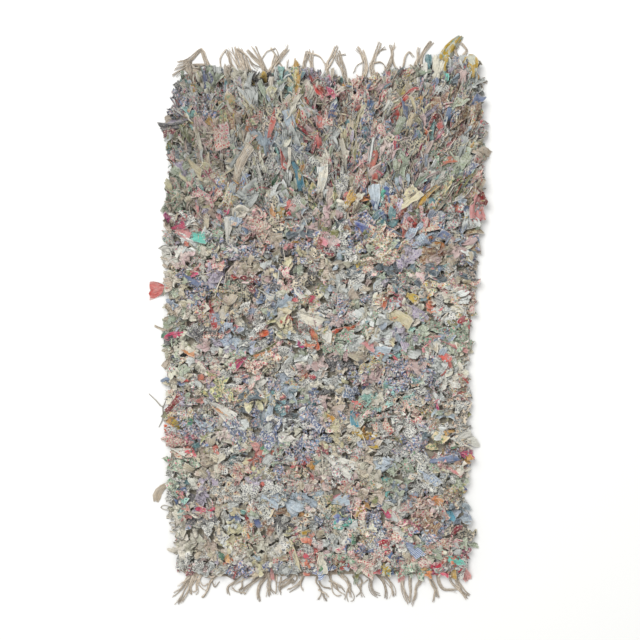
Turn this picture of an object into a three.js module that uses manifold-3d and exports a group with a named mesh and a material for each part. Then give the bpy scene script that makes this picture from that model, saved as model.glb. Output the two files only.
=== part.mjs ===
// A shaggy rag rug. Cut rag ends are knotted in rows on a cotton ground, and the warp is left
// as a tasselled fringe at both ends. It lies flat, and the pile is one lumpy slab whose rim
// carries the rag ends that fall past it.
// Millimetres. +Z is up, +Y runs along the rug to its far fringe, +X is to the right. The origin
// is on the underside, below the middle of the whole rug.
import * as THREE from "three";
import { mergeVertices } from "three/addons/utils/BufferGeometryUtils.js";
import Module from "manifold-3d";

const wasm = await Module();
wasm.setup();

// Ground cloth and its headings, the plain woven strips that the fringes grow from.
const GROUND_HEIGHT = 6;
const HEADING_DEPTH = 16;
const HEADING_HEIGHT = 4;
const PIECE_GAP = 0.3;

// Pile: tufts and the hollows between them, one of each a grid step.
const STEPS_ACROSS = 33;
const STEPS_ALONG = 54;
const TUFT_HEIGHT = { from: 32, to: 41 };
const HOLLOW_HEIGHT = { from: 18, to: 26 };
const TUFT_SHIFT = 6;

// Pile rim: the rags hang past the ground cloth, and the rim bulges a little below its top.
const HALF_WIDTH = 480;
const SIDE_OVERHANG = 9;
const RIM_TOP_INSET = 7;
const RIM_TOP_HEIGHT = { from: 14, to: 25 };
const RIM_BULGE_HEIGHT = { from: 8, to: 12 };
const RIM_UNEVEN = 4;

// Nap: past this distance along the rug the tufts lean to the far end and outwards.
const NAP_START = 250;
const NAP_LEAN = 15;
const NAP_SPREAD = 8;

// Small rag ends along the rim. Those of the sides droop to the floor, those of the ends lie
// over the headings.
const SIDE_LOCK_PITCH = 46;
const END_LOCK_PITCH = 58;
const SMALL_LOCK_REACH = { from: 7, to: 20 };
const SMALL_LOCK_WIDTH = { from: 13, to: 30 };
const SMALL_LOCK_SLANT = 0.55;
const SMALL_LOCK_NAP_SLANT = 0.5;
const SMALL_LOCK_ROOT_DEPTH = 16;
const SMALL_LOCK_ROOT_HEIGHT = 14;
const SMALL_LOCK_MIDDLE_HEIGHT = 11.5;
const SIDE_TIP_HEIGHT = 3;
const END_TIP_HEIGHT = 11;

// Shape of a large rag end from root to tip: its width and fall as shares, its thickness in mm.
const LARGE_LOCK_ROOT_HEIGHT = 20;
const LARGE_LOCK_PROFILE = [
  { share: 0, width: 0.8, fall: 0, thick: 9 },
  { share: 0.35, width: 1, fall: 0.18, thick: 8 },
  { share: 0.68, width: 0.82, fall: 0.66, thick: 6 },
  { share: 1, width: 0.32, fall: 1, thick: 4 },
];

// Fringe strands: three-sided, flat on the floor, each a bundle of warp yarns.
const STRAND_HEIGHT = 3.4;
const STRAND_STEPS = 4;
const STRAND_ROOT_DEPTH = 9;
const STRAND_TIP_WIDTH = 0.42;
const STRAND_TIP_HEIGHT = 0.6;
const TIP_SPREAD = 15;

// Left and right outline of the pile.
const SIDE_EDGES = [
  { y: -778, left: -445, right: 460 },
  { y: -685, left: -457, right: 472 },
  { y: -546, left: -472, right: 450 },
  { y: -406, left: -473, right: 468 },
  { y: -267, left: -472, right: 463 },
  { y: -127, left: -478, right: 467 },
  { y: 12, left: -479, right: 478 },
  { y: 152, left: -481, right: 482 },
  { y: 291, left: -476, right: 494 },
  { y: 384, left: -472, right: 506 },
  { y: 524, left: -467, right: 500 },
  { y: 617, left: -469, right: 500 },
  { y: 710, left: -448, right: 497 },
  { y: 766, left: -428, right: 491 },
];

// Outline of the far end: the pile's overhanging edge, and the heading's outer edge below it.
const FAR_EDGE = [
  { x: -430, pile: 764, heading: 755 },
  { x: -370, pile: 786, heading: 757 },
  { x: -324, pile: 783, heading: 757 },
  { x: -277, pile: 772, heading: 756 },
  { x: -184, pile: 767, heading: 754 },
  { x: -91, pile: 777, heading: 751 },
  { x: -29, pile: 771, heading: 748 },
  { x: 33, pile: 755, heading: 745 },
  { x: 79, pile: 749, heading: 743 },
  { x: 141, pile: 754, heading: 744 },
  { x: 188, pile: 766, heading: 747 },
  { x: 250, pile: 783, heading: 751 },
  { x: 312, pile: 796, heading: 755 },
  { x: 374, pile: 803, heading: 758 },
  { x: 436, pile: 815, heading: 761 },
  { x: 491, pile: 797, heading: 762 },
];

// Outline of the near end, where the heading shows past the pile.
const NEAR_EDGE = [
  { x: -445, pile: -764, heading: -775 },
  { x: -414, pile: -784, heading: -797 },
  { x: -370, pile: -790, heading: -801 },
  { x: -200, pile: -788, heading: -801 },
  { x: 0, pile: -789, heading: -800 },
  { x: 60, pile: -791, heading: -800 },
  { x: 120, pile: -797, heading: -799 },
  { x: 260, pile: -799, heading: -799 },
  { x: 400, pile: -797, heading: -798 },
  { x: 460, pile: -788, heading: -796 },
];

// Rag ends that stand out at the rim, from a root in the pile to a tip. Bend is how far the
// middle of the rag lies to the left of the straight way, and drop is the tip's height.
const LARGE_LOCKS = [
  { x: -440, y: 586, tipX: -505, tipY: 573, width: 50, bend: 0, drop: 4 },
  { x: -455, y: 188, tipX: -495, tipY: 195, width: 5, bend: 3, drop: 3 },
  { x: -458, y: 90, tipX: -519, tipY: 99, width: 42, bend: -4, drop: 4 },
  { x: -456, y: -32, tipX: -510, tipY: -24, width: 6, bend: 4, drop: 3 },
  { x: -456, y: -62, tipX: -496, tipY: -68, width: 26, bend: 0, drop: 4 },
  { x: -460, y: -284, tipX: -534, tipY: -226, width: 5, bend: -9, drop: 3 },
  { x: -460, y: -296, tipX: -510, tipY: -314, width: 5, bend: -4, drop: 3 },
  { x: -456, y: -504, tipX: -533, tipY: -560, width: 20, bend: -20, drop: 4 },
  { x: -458, y: -580, tipX: -494, tipY: -578, width: 15, bend: 4, drop: 4 },
  { x: 478, y: 528, tipX: 534, tipY: 500, width: 34, bend: 0, drop: 5 },
  { x: 478, y: 728, tipX: 514, tipY: 752, width: 26, bend: 0, drop: 6 },
  { x: 484, y: 370, tipX: 521, tipY: 367, width: 40, bend: 3, drop: 5 },
  { x: 462, y: 124, tipX: 496, tipY: 118, width: 16, bend: 0, drop: 4 },
  { x: 446, y: -368, tipX: 484, tipY: -370, width: 48, bend: -3, drop: 4 },
  { x: 450, y: -694, tipX: 484, tipY: -704, width: 18, bend: 0, drop: 4 },
  { x: -70, y: 744, tipX: -70, tipY: 800, width: 15, bend: 2, drop: 11 },
  { x: 36, y: 730, tipX: 39, tipY: 781, width: 12, bend: 0, drop: 11 },
  { x: -350, y: 750, tipX: -359, tipY: 800, width: 28, bend: 0, drop: 11 },
  { x: 330, y: 744, tipX: 429, tipY: 889, width: 60, bend: -9, drop: 11 },
  { x: 424, y: 770, tipX: 452, tipY: 840, width: 24, bend: 0, drop: 11 },
  { x: 110, y: -772, tipX: 110, tipY: -822, width: 14, bend: 2, drop: 11 },
  { x: 259, y: -774, tipX: 259, tipY: -815, width: 16, bend: 0, drop: 11 },
  { x: 444, y: -764, tipX: 458, tipY: -806, width: 22, bend: 0, drop: 11 },
];

// Tassels of each fringe, by the root's place along the heading. Shift and reach lead to the
// tip, sideways and away from the rug. Bow is how far the middle swings to the right.
const FAR_TASSELS = [
  { x: -414, shift: -46, reach: 22, bow: 0, width: 9, tips: 2 },
  { x: -352, shift: -64, reach: 50, bow: 38, width: 8, tips: 1 },
  { x: -305, shift: 3, reach: 86, bow: -3, width: 5, tips: 1 },
  { x: -281, shift: -7, reach: 80, bow: 4, width: 7, tips: 1 },
  { x: -256, shift: -15, reach: 93, bow: 5, width: 8, tips: 1 },
  { x: -228, shift: -23, reach: 88, bow: 4, width: 9, tips: 1 },
  { x: -206, shift: -28, reach: 72, bow: 3, width: 5, tips: 1 },
  { x: -177, shift: -31, reach: 96, bow: 5, width: 9, tips: 3 },
  { x: -158, shift: 4, reach: 92, bow: 21, width: 9, tips: 1 },
  { x: -131, shift: 29, reach: 98, bow: -3, width: 9, tips: 2 },
  { x: -92, shift: 9, reach: 92, bow: 2, width: 5, tips: 1 },
  { x: -59, shift: 13, reach: 94, bow: -2, width: 8, tips: 1 },
  { x: -24, shift: -2, reach: 97, bow: 2, width: 12, tips: 1 },
  { x: 9, shift: -19, reach: 90, bow: 5, width: 4, tips: 1 },
  { x: 26, shift: 16, reach: 106, bow: -3, width: 8, tips: 1 },
  { x: 78, shift: -11, reach: 95, bow: 4, width: 8, tips: 2 },
  { x: 137, shift: -25, reach: 103, bow: 15, width: 9, tips: 1 },
  { x: 168, shift: 22, reach: 113, bow: -12, width: 9, tips: 2 },
  { x: 222, shift: -4, reach: 107, bow: 2, width: 8, tips: 2 },
  { x: 264, shift: 18, reach: 78, bow: -7, width: 9, tips: 1 },
  { x: 310, shift: 32, reach: 105, bow: 3, width: 17, tips: 1 },
  { x: 372, shift: 8, reach: 60, bow: 0, width: 8, tips: 1 },
  { x: 430, shift: -6, reach: 84, bow: 8, width: 8, tips: 2 },
];

const NEAR_TASSELS = [
  { x: -414, shift: -45, reach: 60, bow: 2, width: 8, tips: 1 },
  { x: -399, shift: -44, reach: 90, bow: -3, width: 8, tips: 1 },
  { x: -382, shift: -38, reach: 72, bow: -3, width: 8, tips: 1 },
  { x: -366, shift: -17, reach: 54, bow: 3, width: 6, tips: 2 },
  { x: -327, shift: -34, reach: 73, bow: -3, width: 11, tips: 1 },
  { x: -259, shift: -28, reach: 52, bow: 2, width: 8, tips: 1 },
  { x: -228, shift: -14, reach: 28, bow: 0, width: 6, tips: 1 },
  { x: -195, shift: -52, reach: 58, bow: -3, width: 12, tips: 1 },
  { x: -166, shift: -17, reach: 77, bow: -4, width: 13, tips: 1 },
  { x: -150, shift: -3, reach: 62, bow: -3, width: 7, tips: 1 },
  { x: -133, shift: 2, reach: 52, bow: -2, width: 7, tips: 1 },
  { x: -91, shift: -30, reach: 29, bow: 0, width: 11, tips: 1 },
  { x: -51, shift: -26, reach: 46, bow: 0, width: 9, tips: 2 },
  { x: -11, shift: 7, reach: 77, bow: -3, width: 6, tips: 2 },
  { x: 36, shift: 25, reach: 69, bow: 3, width: 7, tips: 2 },
  { x: 69, shift: 30, reach: 65, bow: -9, width: 7, tips: 1 },
  { x: 119, shift: 13, reach: 66, bow: -2, width: 7, tips: 1 },
  { x: 143, shift: 41, reach: 60, bow: 5, width: 10, tips: 1 },
  { x: 183, shift: 24, reach: 72, bow: -2, width: 7, tips: 1 },
  { x: 205, shift: 29, reach: 64, bow: -3, width: 13, tips: 1 },
  { x: 258, shift: 13, reach: 81, bow: 2, width: 12, tips: 1 },
  { x: 283, shift: 6, reach: 84, bow: -2, width: 7, tips: 1 },
  { x: 308, shift: -4, reach: 47, bow: -10, width: 7, tips: 1 },
  { x: 343, shift: 18, reach: 75, bow: 3, width: 8, tips: 1 },
  { x: 370, shift: 54, reach: 68, bow: 8, width: 8, tips: 1 },
  { x: 398, shift: 50, reach: 62, bow: 4, width: 7, tips: 1 },
  { x: 421, shift: 42, reach: 50, bow: 3, width: 7, tips: 1 },
];

const RAG_CLOTH = new THREE.MeshStandardMaterial({ color: 0x99938c, roughness: 0.95, metalness: 0 });
const WARP_COTTON = new THREE.MeshStandardMaterial({ color: 0xd6cdbb, roughness: 0.9, metalness: 0 });

// A repeatable source of numbers from 0 to 1.
function seeded(seed) {
  let state = seed;
  return () => {
    state = (state + 0x6d2b79f5) | 0;
    let mixed = Math.imul(state ^ (state >>> 15), 1 | state);
    mixed = (mixed + Math.imul(mixed ^ (mixed >>> 7), 61 | mixed)) ^ mixed;
    return ((mixed ^ (mixed >>> 14)) >>> 0) / 4294967296;
  };
}

const lerp = THREE.MathUtils.lerp;
const clamp = THREE.MathUtils.clamp;

function pick(random, range) {
  return lerp(range.from, range.to, random());
}

// A number as likely to one side of zero as to the other, up to a limit.
function either(random, limit) {
  return lerp(-limit, limit, random());
}

// Straight-line reading of a table, by its key column.
function readTable(rows, key, column, at) {
  let k = 1;
  while (k < rows.length - 1 && rows[k][key] < at) k += 1;
  const before = rows[k - 1];
  const after = rows[k];
  const share = clamp((at - before[key]) / (after[key] - before[key]), 0, 1);
  return lerp(before[column], after[column], share);
}

function solidFrom(points, triangles) {
  const geometry = new THREE.BufferGeometry();
  geometry.setAttribute("position", new THREE.Float32BufferAttribute(points.flat(), 3));
  geometry.setIndex(triangles.flat());
  const merged = mergeVertices(geometry, 1e-4);
  return new wasm.Manifold(
    new wasm.Mesh({
      numProp: 3,
      vertProperties: merged.attributes.position.array,
      triVerts: new Uint32Array(merged.index.array),
    }),
  );
}

function meshFrom(solid, name, material) {
  const made = solid.getMesh();
  const geometry = new THREE.BufferGeometry();
  geometry.setAttribute("position", new THREE.BufferAttribute(made.vertProperties, 3));
  geometry.setIndex(new THREE.BufferAttribute(made.triVerts, 1));
  const flat = geometry.toNonIndexed();
  flat.computeVertexNormals();
  const mesh = new THREE.Mesh(flat, material);
  mesh.name = name;
  return mesh;
}

// Joins a row of sections, each a ring of as many corners, into one closed solid. Corners run
// counterclockwise as seen from the last section.
function loft(sections) {
  const corners = sections[0].length;
  const triangles = [];
  for (let s = 0; s < sections.length - 1; s += 1) {
    for (let c = 0; c < corners; c += 1) {
      const next = (c + 1) % corners;
      const a = s * corners + c;
      const b = s * corners + next;
      triangles.push([a, b, b + corners], [a, b + corners, a + corners]);
    }
  }
  const last = (sections.length - 1) * corners;
  for (let c = 1; c < corners - 1; c += 1) {
    triangles.push([0, c + 1, c], [last, last + c, last + c + 1]);
  }
  return solidFrom(sections.flat(), triangles);
}

// Place on the pile's outline grid: u goes from left to right, v from the near to the far end.
function outlinePoint(u, v) {
  const roughX = lerp(-HALF_WIDTH, HALF_WIDTH, u);
  const near = readTable(NEAR_EDGE, "x", "pile", roughX);
  const far = readTable(FAR_EDGE, "x", "pile", roughX);
  const y = lerp(near, far, v);
  const left = readTable(SIDE_EDGES, "y", "left", y);
  const right = readTable(SIDE_EDGES, "y", "right", y);
  return [lerp(left, right, u), y];
}

// Grid places around the rim, counterclockwise from the near left corner.
function rimPlaces() {
  const places = [];
  for (let i = 0; i < STEPS_ACROSS; i += 1) places.push([i, 0]);
  for (let j = 0; j < STEPS_ALONG; j += 1) places.push([STEPS_ACROSS, j]);
  for (let i = STEPS_ACROSS; i > 0; i -= 1) places.push([i, STEPS_ALONG]);
  for (let j = STEPS_ALONG; j > 0; j -= 1) places.push([0, j]);
  return places;
}

// Which way is out at a grid place: -1, 0 or 1 along X and Y.
function outward(i, j) {
  const across = i === 0 ? -1 : Number(i === STEPS_ACROSS);
  const along = j === 0 ? -1 : Number(j === STEPS_ALONG);
  return [across, along];
}

// Edge of the ground cloth below a grid place on the rim. At the ends it stops at the heading.
function groundEdge(i, j) {
  const outlineX = outlinePoint(i / STEPS_ACROSS, j / STEPS_ALONG)[0];
  const x = outlineX * (1 - SIDE_OVERHANG / HALF_WIDTH);
  const near = readTable(NEAR_EDGE, "x", "heading", x) + HEADING_DEPTH + PIECE_GAP;
  const far = readTable(FAR_EDGE, "x", "heading", x) - HEADING_DEPTH - PIECE_GAP;
  return [x, lerp(near, far, j / STEPS_ALONG)];
}

// How strongly the nap leans at a distance along the rug, from 0 to 1.
function napStrength(y) {
  const end = readTable(FAR_EDGE, "x", "pile", 0);
  return clamp((y - NAP_START) / (end - NAP_START), 0, 1);
}

function buildPileSlab() {
  const random = seeded(11);
  const points = [];
  const topIndex = (i, j) => j * (STEPS_ACROSS + 1) + i;

  for (let j = 0; j <= STEPS_ALONG; j += 1) {
    for (let i = 0; i <= STEPS_ACROSS; i += 1) {
      const [x, y] = outlinePoint(i / STEPS_ACROSS, j / STEPS_ALONG);
      const [outX, outY] = outward(i, j);
      if (outX || outY) {
        const height = pick(random, RIM_TOP_HEIGHT);
        points.push([x - outX * RIM_TOP_INSET, y - outY * RIM_TOP_INSET, height]);
        continue;
      }
      const tuft = (i + j) % 2 === 0;
      const lean = tuft && j < STEPS_ALONG - 1 ? napStrength(y) : 0;
      points.push([
        x + either(random, TUFT_SHIFT) + (lean * NAP_SPREAD * x) / HALF_WIDTH,
        y + either(random, TUFT_SHIFT) + lean * NAP_LEAN,
        pick(random, tuft ? TUFT_HEIGHT : HOLLOW_HEIGHT),
      ]);
    }
  }

  const rim = rimPlaces();
  const bulgeStart = points.length;
  for (const [i, j] of rim) {
    const [x, y] = outlinePoint(i / STEPS_ACROSS, j / STEPS_ALONG);
    const [outX, outY] = outward(i, j);
    const uneven = either(random, RIM_UNEVEN);
    points.push([x + outX * uneven, y + outY * uneven, pick(random, RIM_BULGE_HEIGHT)]);
  }
  const ledgeStart = points.length;
  for (const [i, j] of rim) points.push([...groundEdge(i, j), GROUND_HEIGHT]);
  const floorStart = points.length;
  for (const [i, j] of rim) points.push([...groundEdge(i, j), 0]);

  const triangles = [];
  for (let j = 0; j < STEPS_ALONG; j += 1) {
    for (let i = 0; i < STEPS_ACROSS; i += 1) {
      const a = topIndex(i, j);
      const b = topIndex(i + 1, j);
      const c = topIndex(i + 1, j + 1);
      const d = topIndex(i, j + 1);
      if ((i + j) % 2 === 0) triangles.push([a, b, c], [a, c, d]);
      else triangles.push([a, b, d], [b, c, d]);
    }
  }
  const rings = [
    (k) => topIndex(...rim[k]),
    (k) => bulgeStart + k,
    (k) => ledgeStart + k,
    (k) => floorStart + k,
  ];
  for (let r = 0; r < rings.length - 1; r += 1) {
    const upper = rings[r];
    const lower = rings[r + 1];
    for (let k = 0; k < rim.length; k += 1) {
      const next = (k + 1) % rim.length;
      triangles.push([lower(k), lower(next), upper(next)], [lower(k), upper(next), upper(k)]);
    }
  }
  const floorOutline = rim.map(([i, j]) => new THREE.Vector2(...groundEdge(i, j)));
  for (const [a, b, c] of THREE.ShapeUtils.triangulateShape(floorOutline, [])) {
    triangles.push([floorStart + a, floorStart + c, floorStart + b]);
  }
  return solidFrom(points, triangles);
}

// A rag end of four sides. Each station has a place, a width across the rag and a thickness.
function ragLock(stations) {
  const sections = stations.map((station, k) => {
    const before = stations[Math.max(k - 1, 0)];
    const after = stations[Math.min(k + 1, stations.length - 1)];
    const along = new THREE.Vector2(after.x - before.x, after.y - before.y).normalize();
    const halfX = (-along.y * station.width) / 2;
    const halfY = (along.x * station.width) / 2;
    const low = station.z - station.thick / 2;
    const high = station.z + station.thick / 2;
    return [
      [station.x - halfX, station.y - halfY, low],
      [station.x + halfX, station.y + halfY, low],
      [station.x + halfX, station.y + halfY, high],
      [station.x - halfX, station.y - halfY, high],
    ];
  });
  return loft(sections);
}

// A large rag end bends on its way out and narrows to its tip.
function largeLock({ x, y, tipX, tipY, width, bend, drop }) {
  const length = Math.hypot(tipX - x, tipY - y);
  const leftX = -(tipY - y) / length;
  const leftY = (tipX - x) / length;
  return ragLock(
    LARGE_LOCK_PROFILE.map((row) => ({
      x: lerp(x, tipX, row.share) + leftX * bend * Math.sin(Math.PI * row.share),
      y: lerp(y, tipY, row.share) + leftY * bend * Math.sin(Math.PI * row.share),
      z: lerp(LARGE_LOCK_ROOT_HEIGHT, drop, row.fall),
      width: width * row.width,
      thick: row.thick,
    })),
  );
}

// A small rag end grows from the rim at a grid place given by u and v.
function smallLock(random, u, v, outX, outY) {
  const [rimX, rimY] = outlinePoint(u, v);
  const reach = pick(random, SMALL_LOCK_REACH);
  const width = pick(random, SMALL_LOCK_WIDTH);
  const napSlant = outX ? napStrength(rimY) * SMALL_LOCK_NAP_SLANT : 0;
  const slant = either(random, SMALL_LOCK_SLANT) + napSlant;
  const wayX = outX + (outY ? slant : 0);
  const wayY = outY + (outX ? slant : 0);
  const station = (distance, z, widthShare, thick) => ({
    x: rimX + wayX * distance,
    y: rimY + wayY * distance,
    z,
    width: width * widthShare,
    thick,
  });
  return ragLock([
    station(-SMALL_LOCK_ROOT_DEPTH, SMALL_LOCK_ROOT_HEIGHT, 0.8, 7),
    station(reach * 0.45, SMALL_LOCK_MIDDLE_HEIGHT, 1, 6),
    station(reach, outX ? SIDE_TIP_HEIGHT : END_TIP_HEIGHT, 0.4, 4),
  ]);
}

// Small rag ends along a pair of edges, each at its own place within an even share of the edge.
function smallLocks(random, count, placeAt) {
  const locks = [];
  for (let k = 0; k < count; k += 1) {
    for (const out of [-1, 1]) {
      const along = (k + lerp(0.2, 0.8, random())) / count;
      locks.push(smallLock(random, ...placeAt(along, out)));
    }
  }
  return locks;
}

// Where rag ends cross they can shut in a small hollow. The outer skin alone is kept.
function withoutHollows(solid) {
  return solid.decompose().reduce((kept, body) => (body.volume() > kept.volume() ? body : kept));
}

function buildPile() {
  const random = seeded(29);
  const length = outlinePoint(0.5, 1)[1] - outlinePoint(0.5, 0)[1];
  const sideCount = Math.round(length / SIDE_LOCK_PITCH);
  const endCount = Math.round((2 * HALF_WIDTH) / END_LOCK_PITCH);
  return withoutHollows(
    wasm.Manifold.union([
      buildPileSlab(),
      ...LARGE_LOCKS.map(largeLock),
      ...smallLocks(random, sideCount, (along, out) => [(out + 1) / 2, along, out, 0]),
      ...smallLocks(random, endCount, (along, out) => [along, (out + 1) / 2, 0, out]),
    ]),
  );
}

// The plain woven strip at an end: -1 is the near end, 1 the far end.
function buildHeading(end) {
  const sections = [];
  for (let i = 0; i <= STEPS_ACROSS; i += 1) {
    const [x, groundY] = groundEdge(i, end > 0 ? STEPS_ALONG : 0);
    const inner = groundY + end * PIECE_GAP;
    const outer = inner + end * HEADING_DEPTH;
    const low = Math.min(inner, outer);
    const high = Math.max(inner, outer);
    sections.push([
      [x, low, 0],
      [x, high, 0],
      [x, high, HEADING_HEIGHT],
      [x, low, HEADING_HEIGHT],
    ]);
  }
  return loft(sections);
}

// One strand of a tassel. The foot lies on the floor from root to tip.
function strand({ x, shift, reach, bow, width }, tipOffset, end, rows) {
  const rootY = readTable(rows, "x", "heading", x);
  const length = Math.hypot(shift, reach);
  const acrossX = reach / length;
  const acrossY = -shift / length;
  const sections = [];
  for (let k = -1; k <= STRAND_STEPS; k += 1) {
    const share = Math.max(k, 0) / STRAND_STEPS;
    const swing = bow * Math.sin(Math.PI * share) + tipOffset * share * share;
    const depth = k < 0 ? -STRAND_ROOT_DEPTH : 0;
    const centreX = x + shift * share + acrossX * swing;
    const centreY = rootY + end * (reach * share + acrossY * swing + depth);
    const half = (width * lerp(1, STRAND_TIP_WIDTH, share)) / 2;
    const height = STRAND_HEIGHT * lerp(1, STRAND_TIP_HEIGHT, share);
    const turned = k > 0;
    const footX = half * (turned ? acrossX : 1);
    const footY = half * (turned ? acrossY * end : 0);
    const left = [centreX - footX, centreY - footY, 0];
    const right = [centreX + footX, centreY + footY, 0];
    const ridge = [centreX, centreY, height];
    sections.push(end > 0 ? [right, left, ridge] : [left, right, ridge]);
  }
  return loft(sections);
}

function buildFringe(end, rows, tassels) {
  const solids = [buildHeading(end)];
  for (const tassel of tassels) {
    for (let tip = 0; tip < tassel.tips; tip += 1) {
      const tipOffset = (tip - (tassel.tips - 1) / 2) * TIP_SPREAD;
      solids.push(strand(tassel, tipOffset, end, rows));
    }
  }
  return withoutHollows(wasm.Manifold.union(solids));
}

const rug = new THREE.Group();
rug.add(
  meshFrom(buildPile(), "rag_pile", RAG_CLOTH),
  meshFrom(buildFringe(1, FAR_EDGE, FAR_TASSELS), "fringe_far", WARP_COTTON),
  meshFrom(buildFringe(-1, NEAR_EDGE, NEAR_TASSELS), "fringe_near", WARP_COTTON),
);

export default rug;
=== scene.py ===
import math

import bpy
import numpy as np
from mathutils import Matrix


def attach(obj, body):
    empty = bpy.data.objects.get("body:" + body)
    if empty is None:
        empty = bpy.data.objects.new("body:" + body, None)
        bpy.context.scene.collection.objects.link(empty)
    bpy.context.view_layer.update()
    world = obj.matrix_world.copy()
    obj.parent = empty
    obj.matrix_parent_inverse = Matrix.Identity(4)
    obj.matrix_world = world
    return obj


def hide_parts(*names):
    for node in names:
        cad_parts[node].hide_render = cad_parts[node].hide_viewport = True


MM = 0.001

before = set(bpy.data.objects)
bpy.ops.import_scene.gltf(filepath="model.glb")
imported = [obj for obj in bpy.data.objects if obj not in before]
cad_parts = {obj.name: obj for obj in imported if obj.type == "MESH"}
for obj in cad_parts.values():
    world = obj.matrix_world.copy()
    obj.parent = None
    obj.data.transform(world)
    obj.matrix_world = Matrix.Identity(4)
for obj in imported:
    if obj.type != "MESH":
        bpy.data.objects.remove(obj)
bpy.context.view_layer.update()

# The photographed frame: its real width, and the camera straight above the rug's middle.
VIEW_WIDTH = 1984
CAMERA_HEIGHT = 3000
CAMERA_Y = -1.5
FOCUS_HEIGHT = 20

# Ground cloth and knot rows.
GROUND_HEIGHT = 6
HEADING_DEPTH = 16
HEADING_HEIGHT = 4
PIECE_GAP = 0.3
SIDE_OVERHANG = 9
HALF_WIDTH = 480
ROW_PITCH = 24.5
KNOT_PITCH = 11

# Left and right outline of the pile: y, left, right.
SIDE_EDGES = np.array([
    (-778, -445, 460),
    (-685, -457, 472),
    (-546, -472, 450),
    (-406, -473, 468),
    (-267, -472, 463),
    (-127, -478, 467),
    (12, -479, 478),
    (152, -481, 482),
    (291, -476, 494),
    (384, -472, 506),
    (524, -467, 500),
    (617, -469, 500),
    (710, -448, 497),
    (766, -428, 491),
])

# Outline of the far end: x, the pile's overhanging edge, the heading's edge below it.
FAR_EDGE = np.array([
    (-430, 764, 755),
    (-370, 786, 757),
    (-324, 783, 757),
    (-277, 772, 756),
    (-184, 767, 754),
    (-91, 777, 751),
    (-29, 771, 748),
    (33, 755, 745),
    (79, 749, 743),
    (141, 754, 744),
    (188, 766, 747),
    (250, 783, 751),
    (312, 796, 755),
    (374, 803, 758),
    (436, 815, 761),
    (491, 797, 762),
])

# Outline of the near end, where the heading shows past the pile: x, pile, heading.
NEAR_EDGE = np.array([
    (-445, -764, -775),
    (-414, -784, -797),
    (-370, -790, -801),
    (-200, -788, -801),
    (0, -789, -800),
    (60, -787, -794),
    (120, -788, -793),
    (260, -790, -793),
    (400, -795, -797),
    (460, -788, -796),
])

# Rag ends that stand out at the rim or lie over the long nap: root, tip, width, bend to the
# left, kind and fabric.
RIM_RAGS = [
    (-446, 580, -488, 576, 26, 0, "puff", "crimson"),
    (-448, 570, -480, 564, 26, 0, "puff", "worn_grey"),
    (-450, 626, -474, 618, 26, 0, "puff", "oatmeal"),
    (-446, 545, -468, 536, 26, 0, "puff", "olive"),
    (-455, 188, -495, 195, 5, 3, "rolled", "oatmeal"),
    (-458, 96, -529, 98, 50, 0, "fan", "coral"),
    (-456, -32, -510, -24, 6, 4, "rolled", "oatmeal"),
    (-440, -36, -488, -60, 20, -8, "leaf", "emerald"),
    (-452, -58, -490, -74, 22, 0, "pleated", "charcoal"),
    (-404, -46, -474, -66, 24, -9, "leaf", "magenta"),
    (-422, -208, -474, -243, 15, 0, "flat", "leopard"),
    (-422, -226, -466, -292, 26, 0, "pleated", "crimson"),
    (-446, -262, -486, -308, 20, 0, "pleated", "olive"),
    (-452, -508, -522, -562, 30, -16, "paddle", "oatmeal"),
    (472, 530, 522, 504, 34, 0, "pleated", "oatmeal"),
    (440, 697, 510, 742, 18, 0, "fan", "worn_grey"),
    (478, 408, 500, 356, 30, 6, "pleated", "crimson"),
    (494, 384, 484, 318, 42, -6, "pleated", "rose"),
    (456, 340, 468, 290, 50, 0, "puff", "worn_grey"),
    (462, 124, 496, 118, 16, 0, "flat", "charcoal"),
    (446, -368, 484, -370, 48, -3, "fan", "linen"),
    (450, -694, 484, -704, 18, 0, "pleated", "sage"),
    (-70, 744, -70, 800, 15, 2, "pleated", "mustard"),
    (36, 730, 39, 781, 12, 0, "flat", "oatmeal"),
    (-388, 740, -392, 788, 52, 0, "puff", "oatmeal"),
    (-344, 742, -346, 786, 26, 0, "puff", "sage"),
    (-318, 744, -314, 788, 28, 0, "puff", "worn_grey"),
    (-286, 740, -285, 778, 30, 0, "puff", "oatmeal"),
    (-120, 736, -121, 778, 20, 0, "puff", "aqua"),
    (338, 764, 336, 822, 22, 0, "puff", "teal"),
    (356, 740, 372, 806, 40, 0, "flat", "calico"),
    (366, 776, 376, 828, 34, 0, "puff", "worn_grey"),
    (380, 748, 428, 876, 54, 14, "flap", "sunny_floral"),
    (468, 740, 447, 802, 44, -9, "leaf", "sunny_floral"),
    (438, 716, 446, 762, 40, 0, "puff", "dusty_pink"),
    (-368, 768, -418, 788, 22, 4, "pleated", "oatmeal"),
    (110, -772, 110, -822, 14, 2, "pleated", "sage"),
    (250, -742, 257, -812, 22, 0, "flat", "rose"),
    (444, -764, 458, -806, 22, 0, "pleated", "rose"),
    (416, -758, 413, -800, 18, 0, "flat", "mustard"),
    (-400, -756, -404, -792, 26, 0, "pleated", "maroon_print"),
    (-150, -760, -150, -806, 16, 0, "pleated", "rose"),
    (-255, -752, -272, -802, 16, 0, "pleated", "crimson"),
    (-402, 606, -492, 597, 26, 6, "pleated", "charcoal"),
    (-392, 620, -476, 624, 15, 6, "pleated", "lilac"),
    (-340, 614, -302, 546, 48, 0, "fan", "rose_sprig"),
    (-422, 514, -380, 446, 46, 0, "fan", "butter"),
    (-78, 608, -26, 562, 16, 0, "pleated", "crimson"),
    (-86, 488, -56, 412, 20, 3, "pleated", "azure"),
    (-118, 526, -108, 474, 22, 0, "flat", "scarlet"),
]

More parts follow.
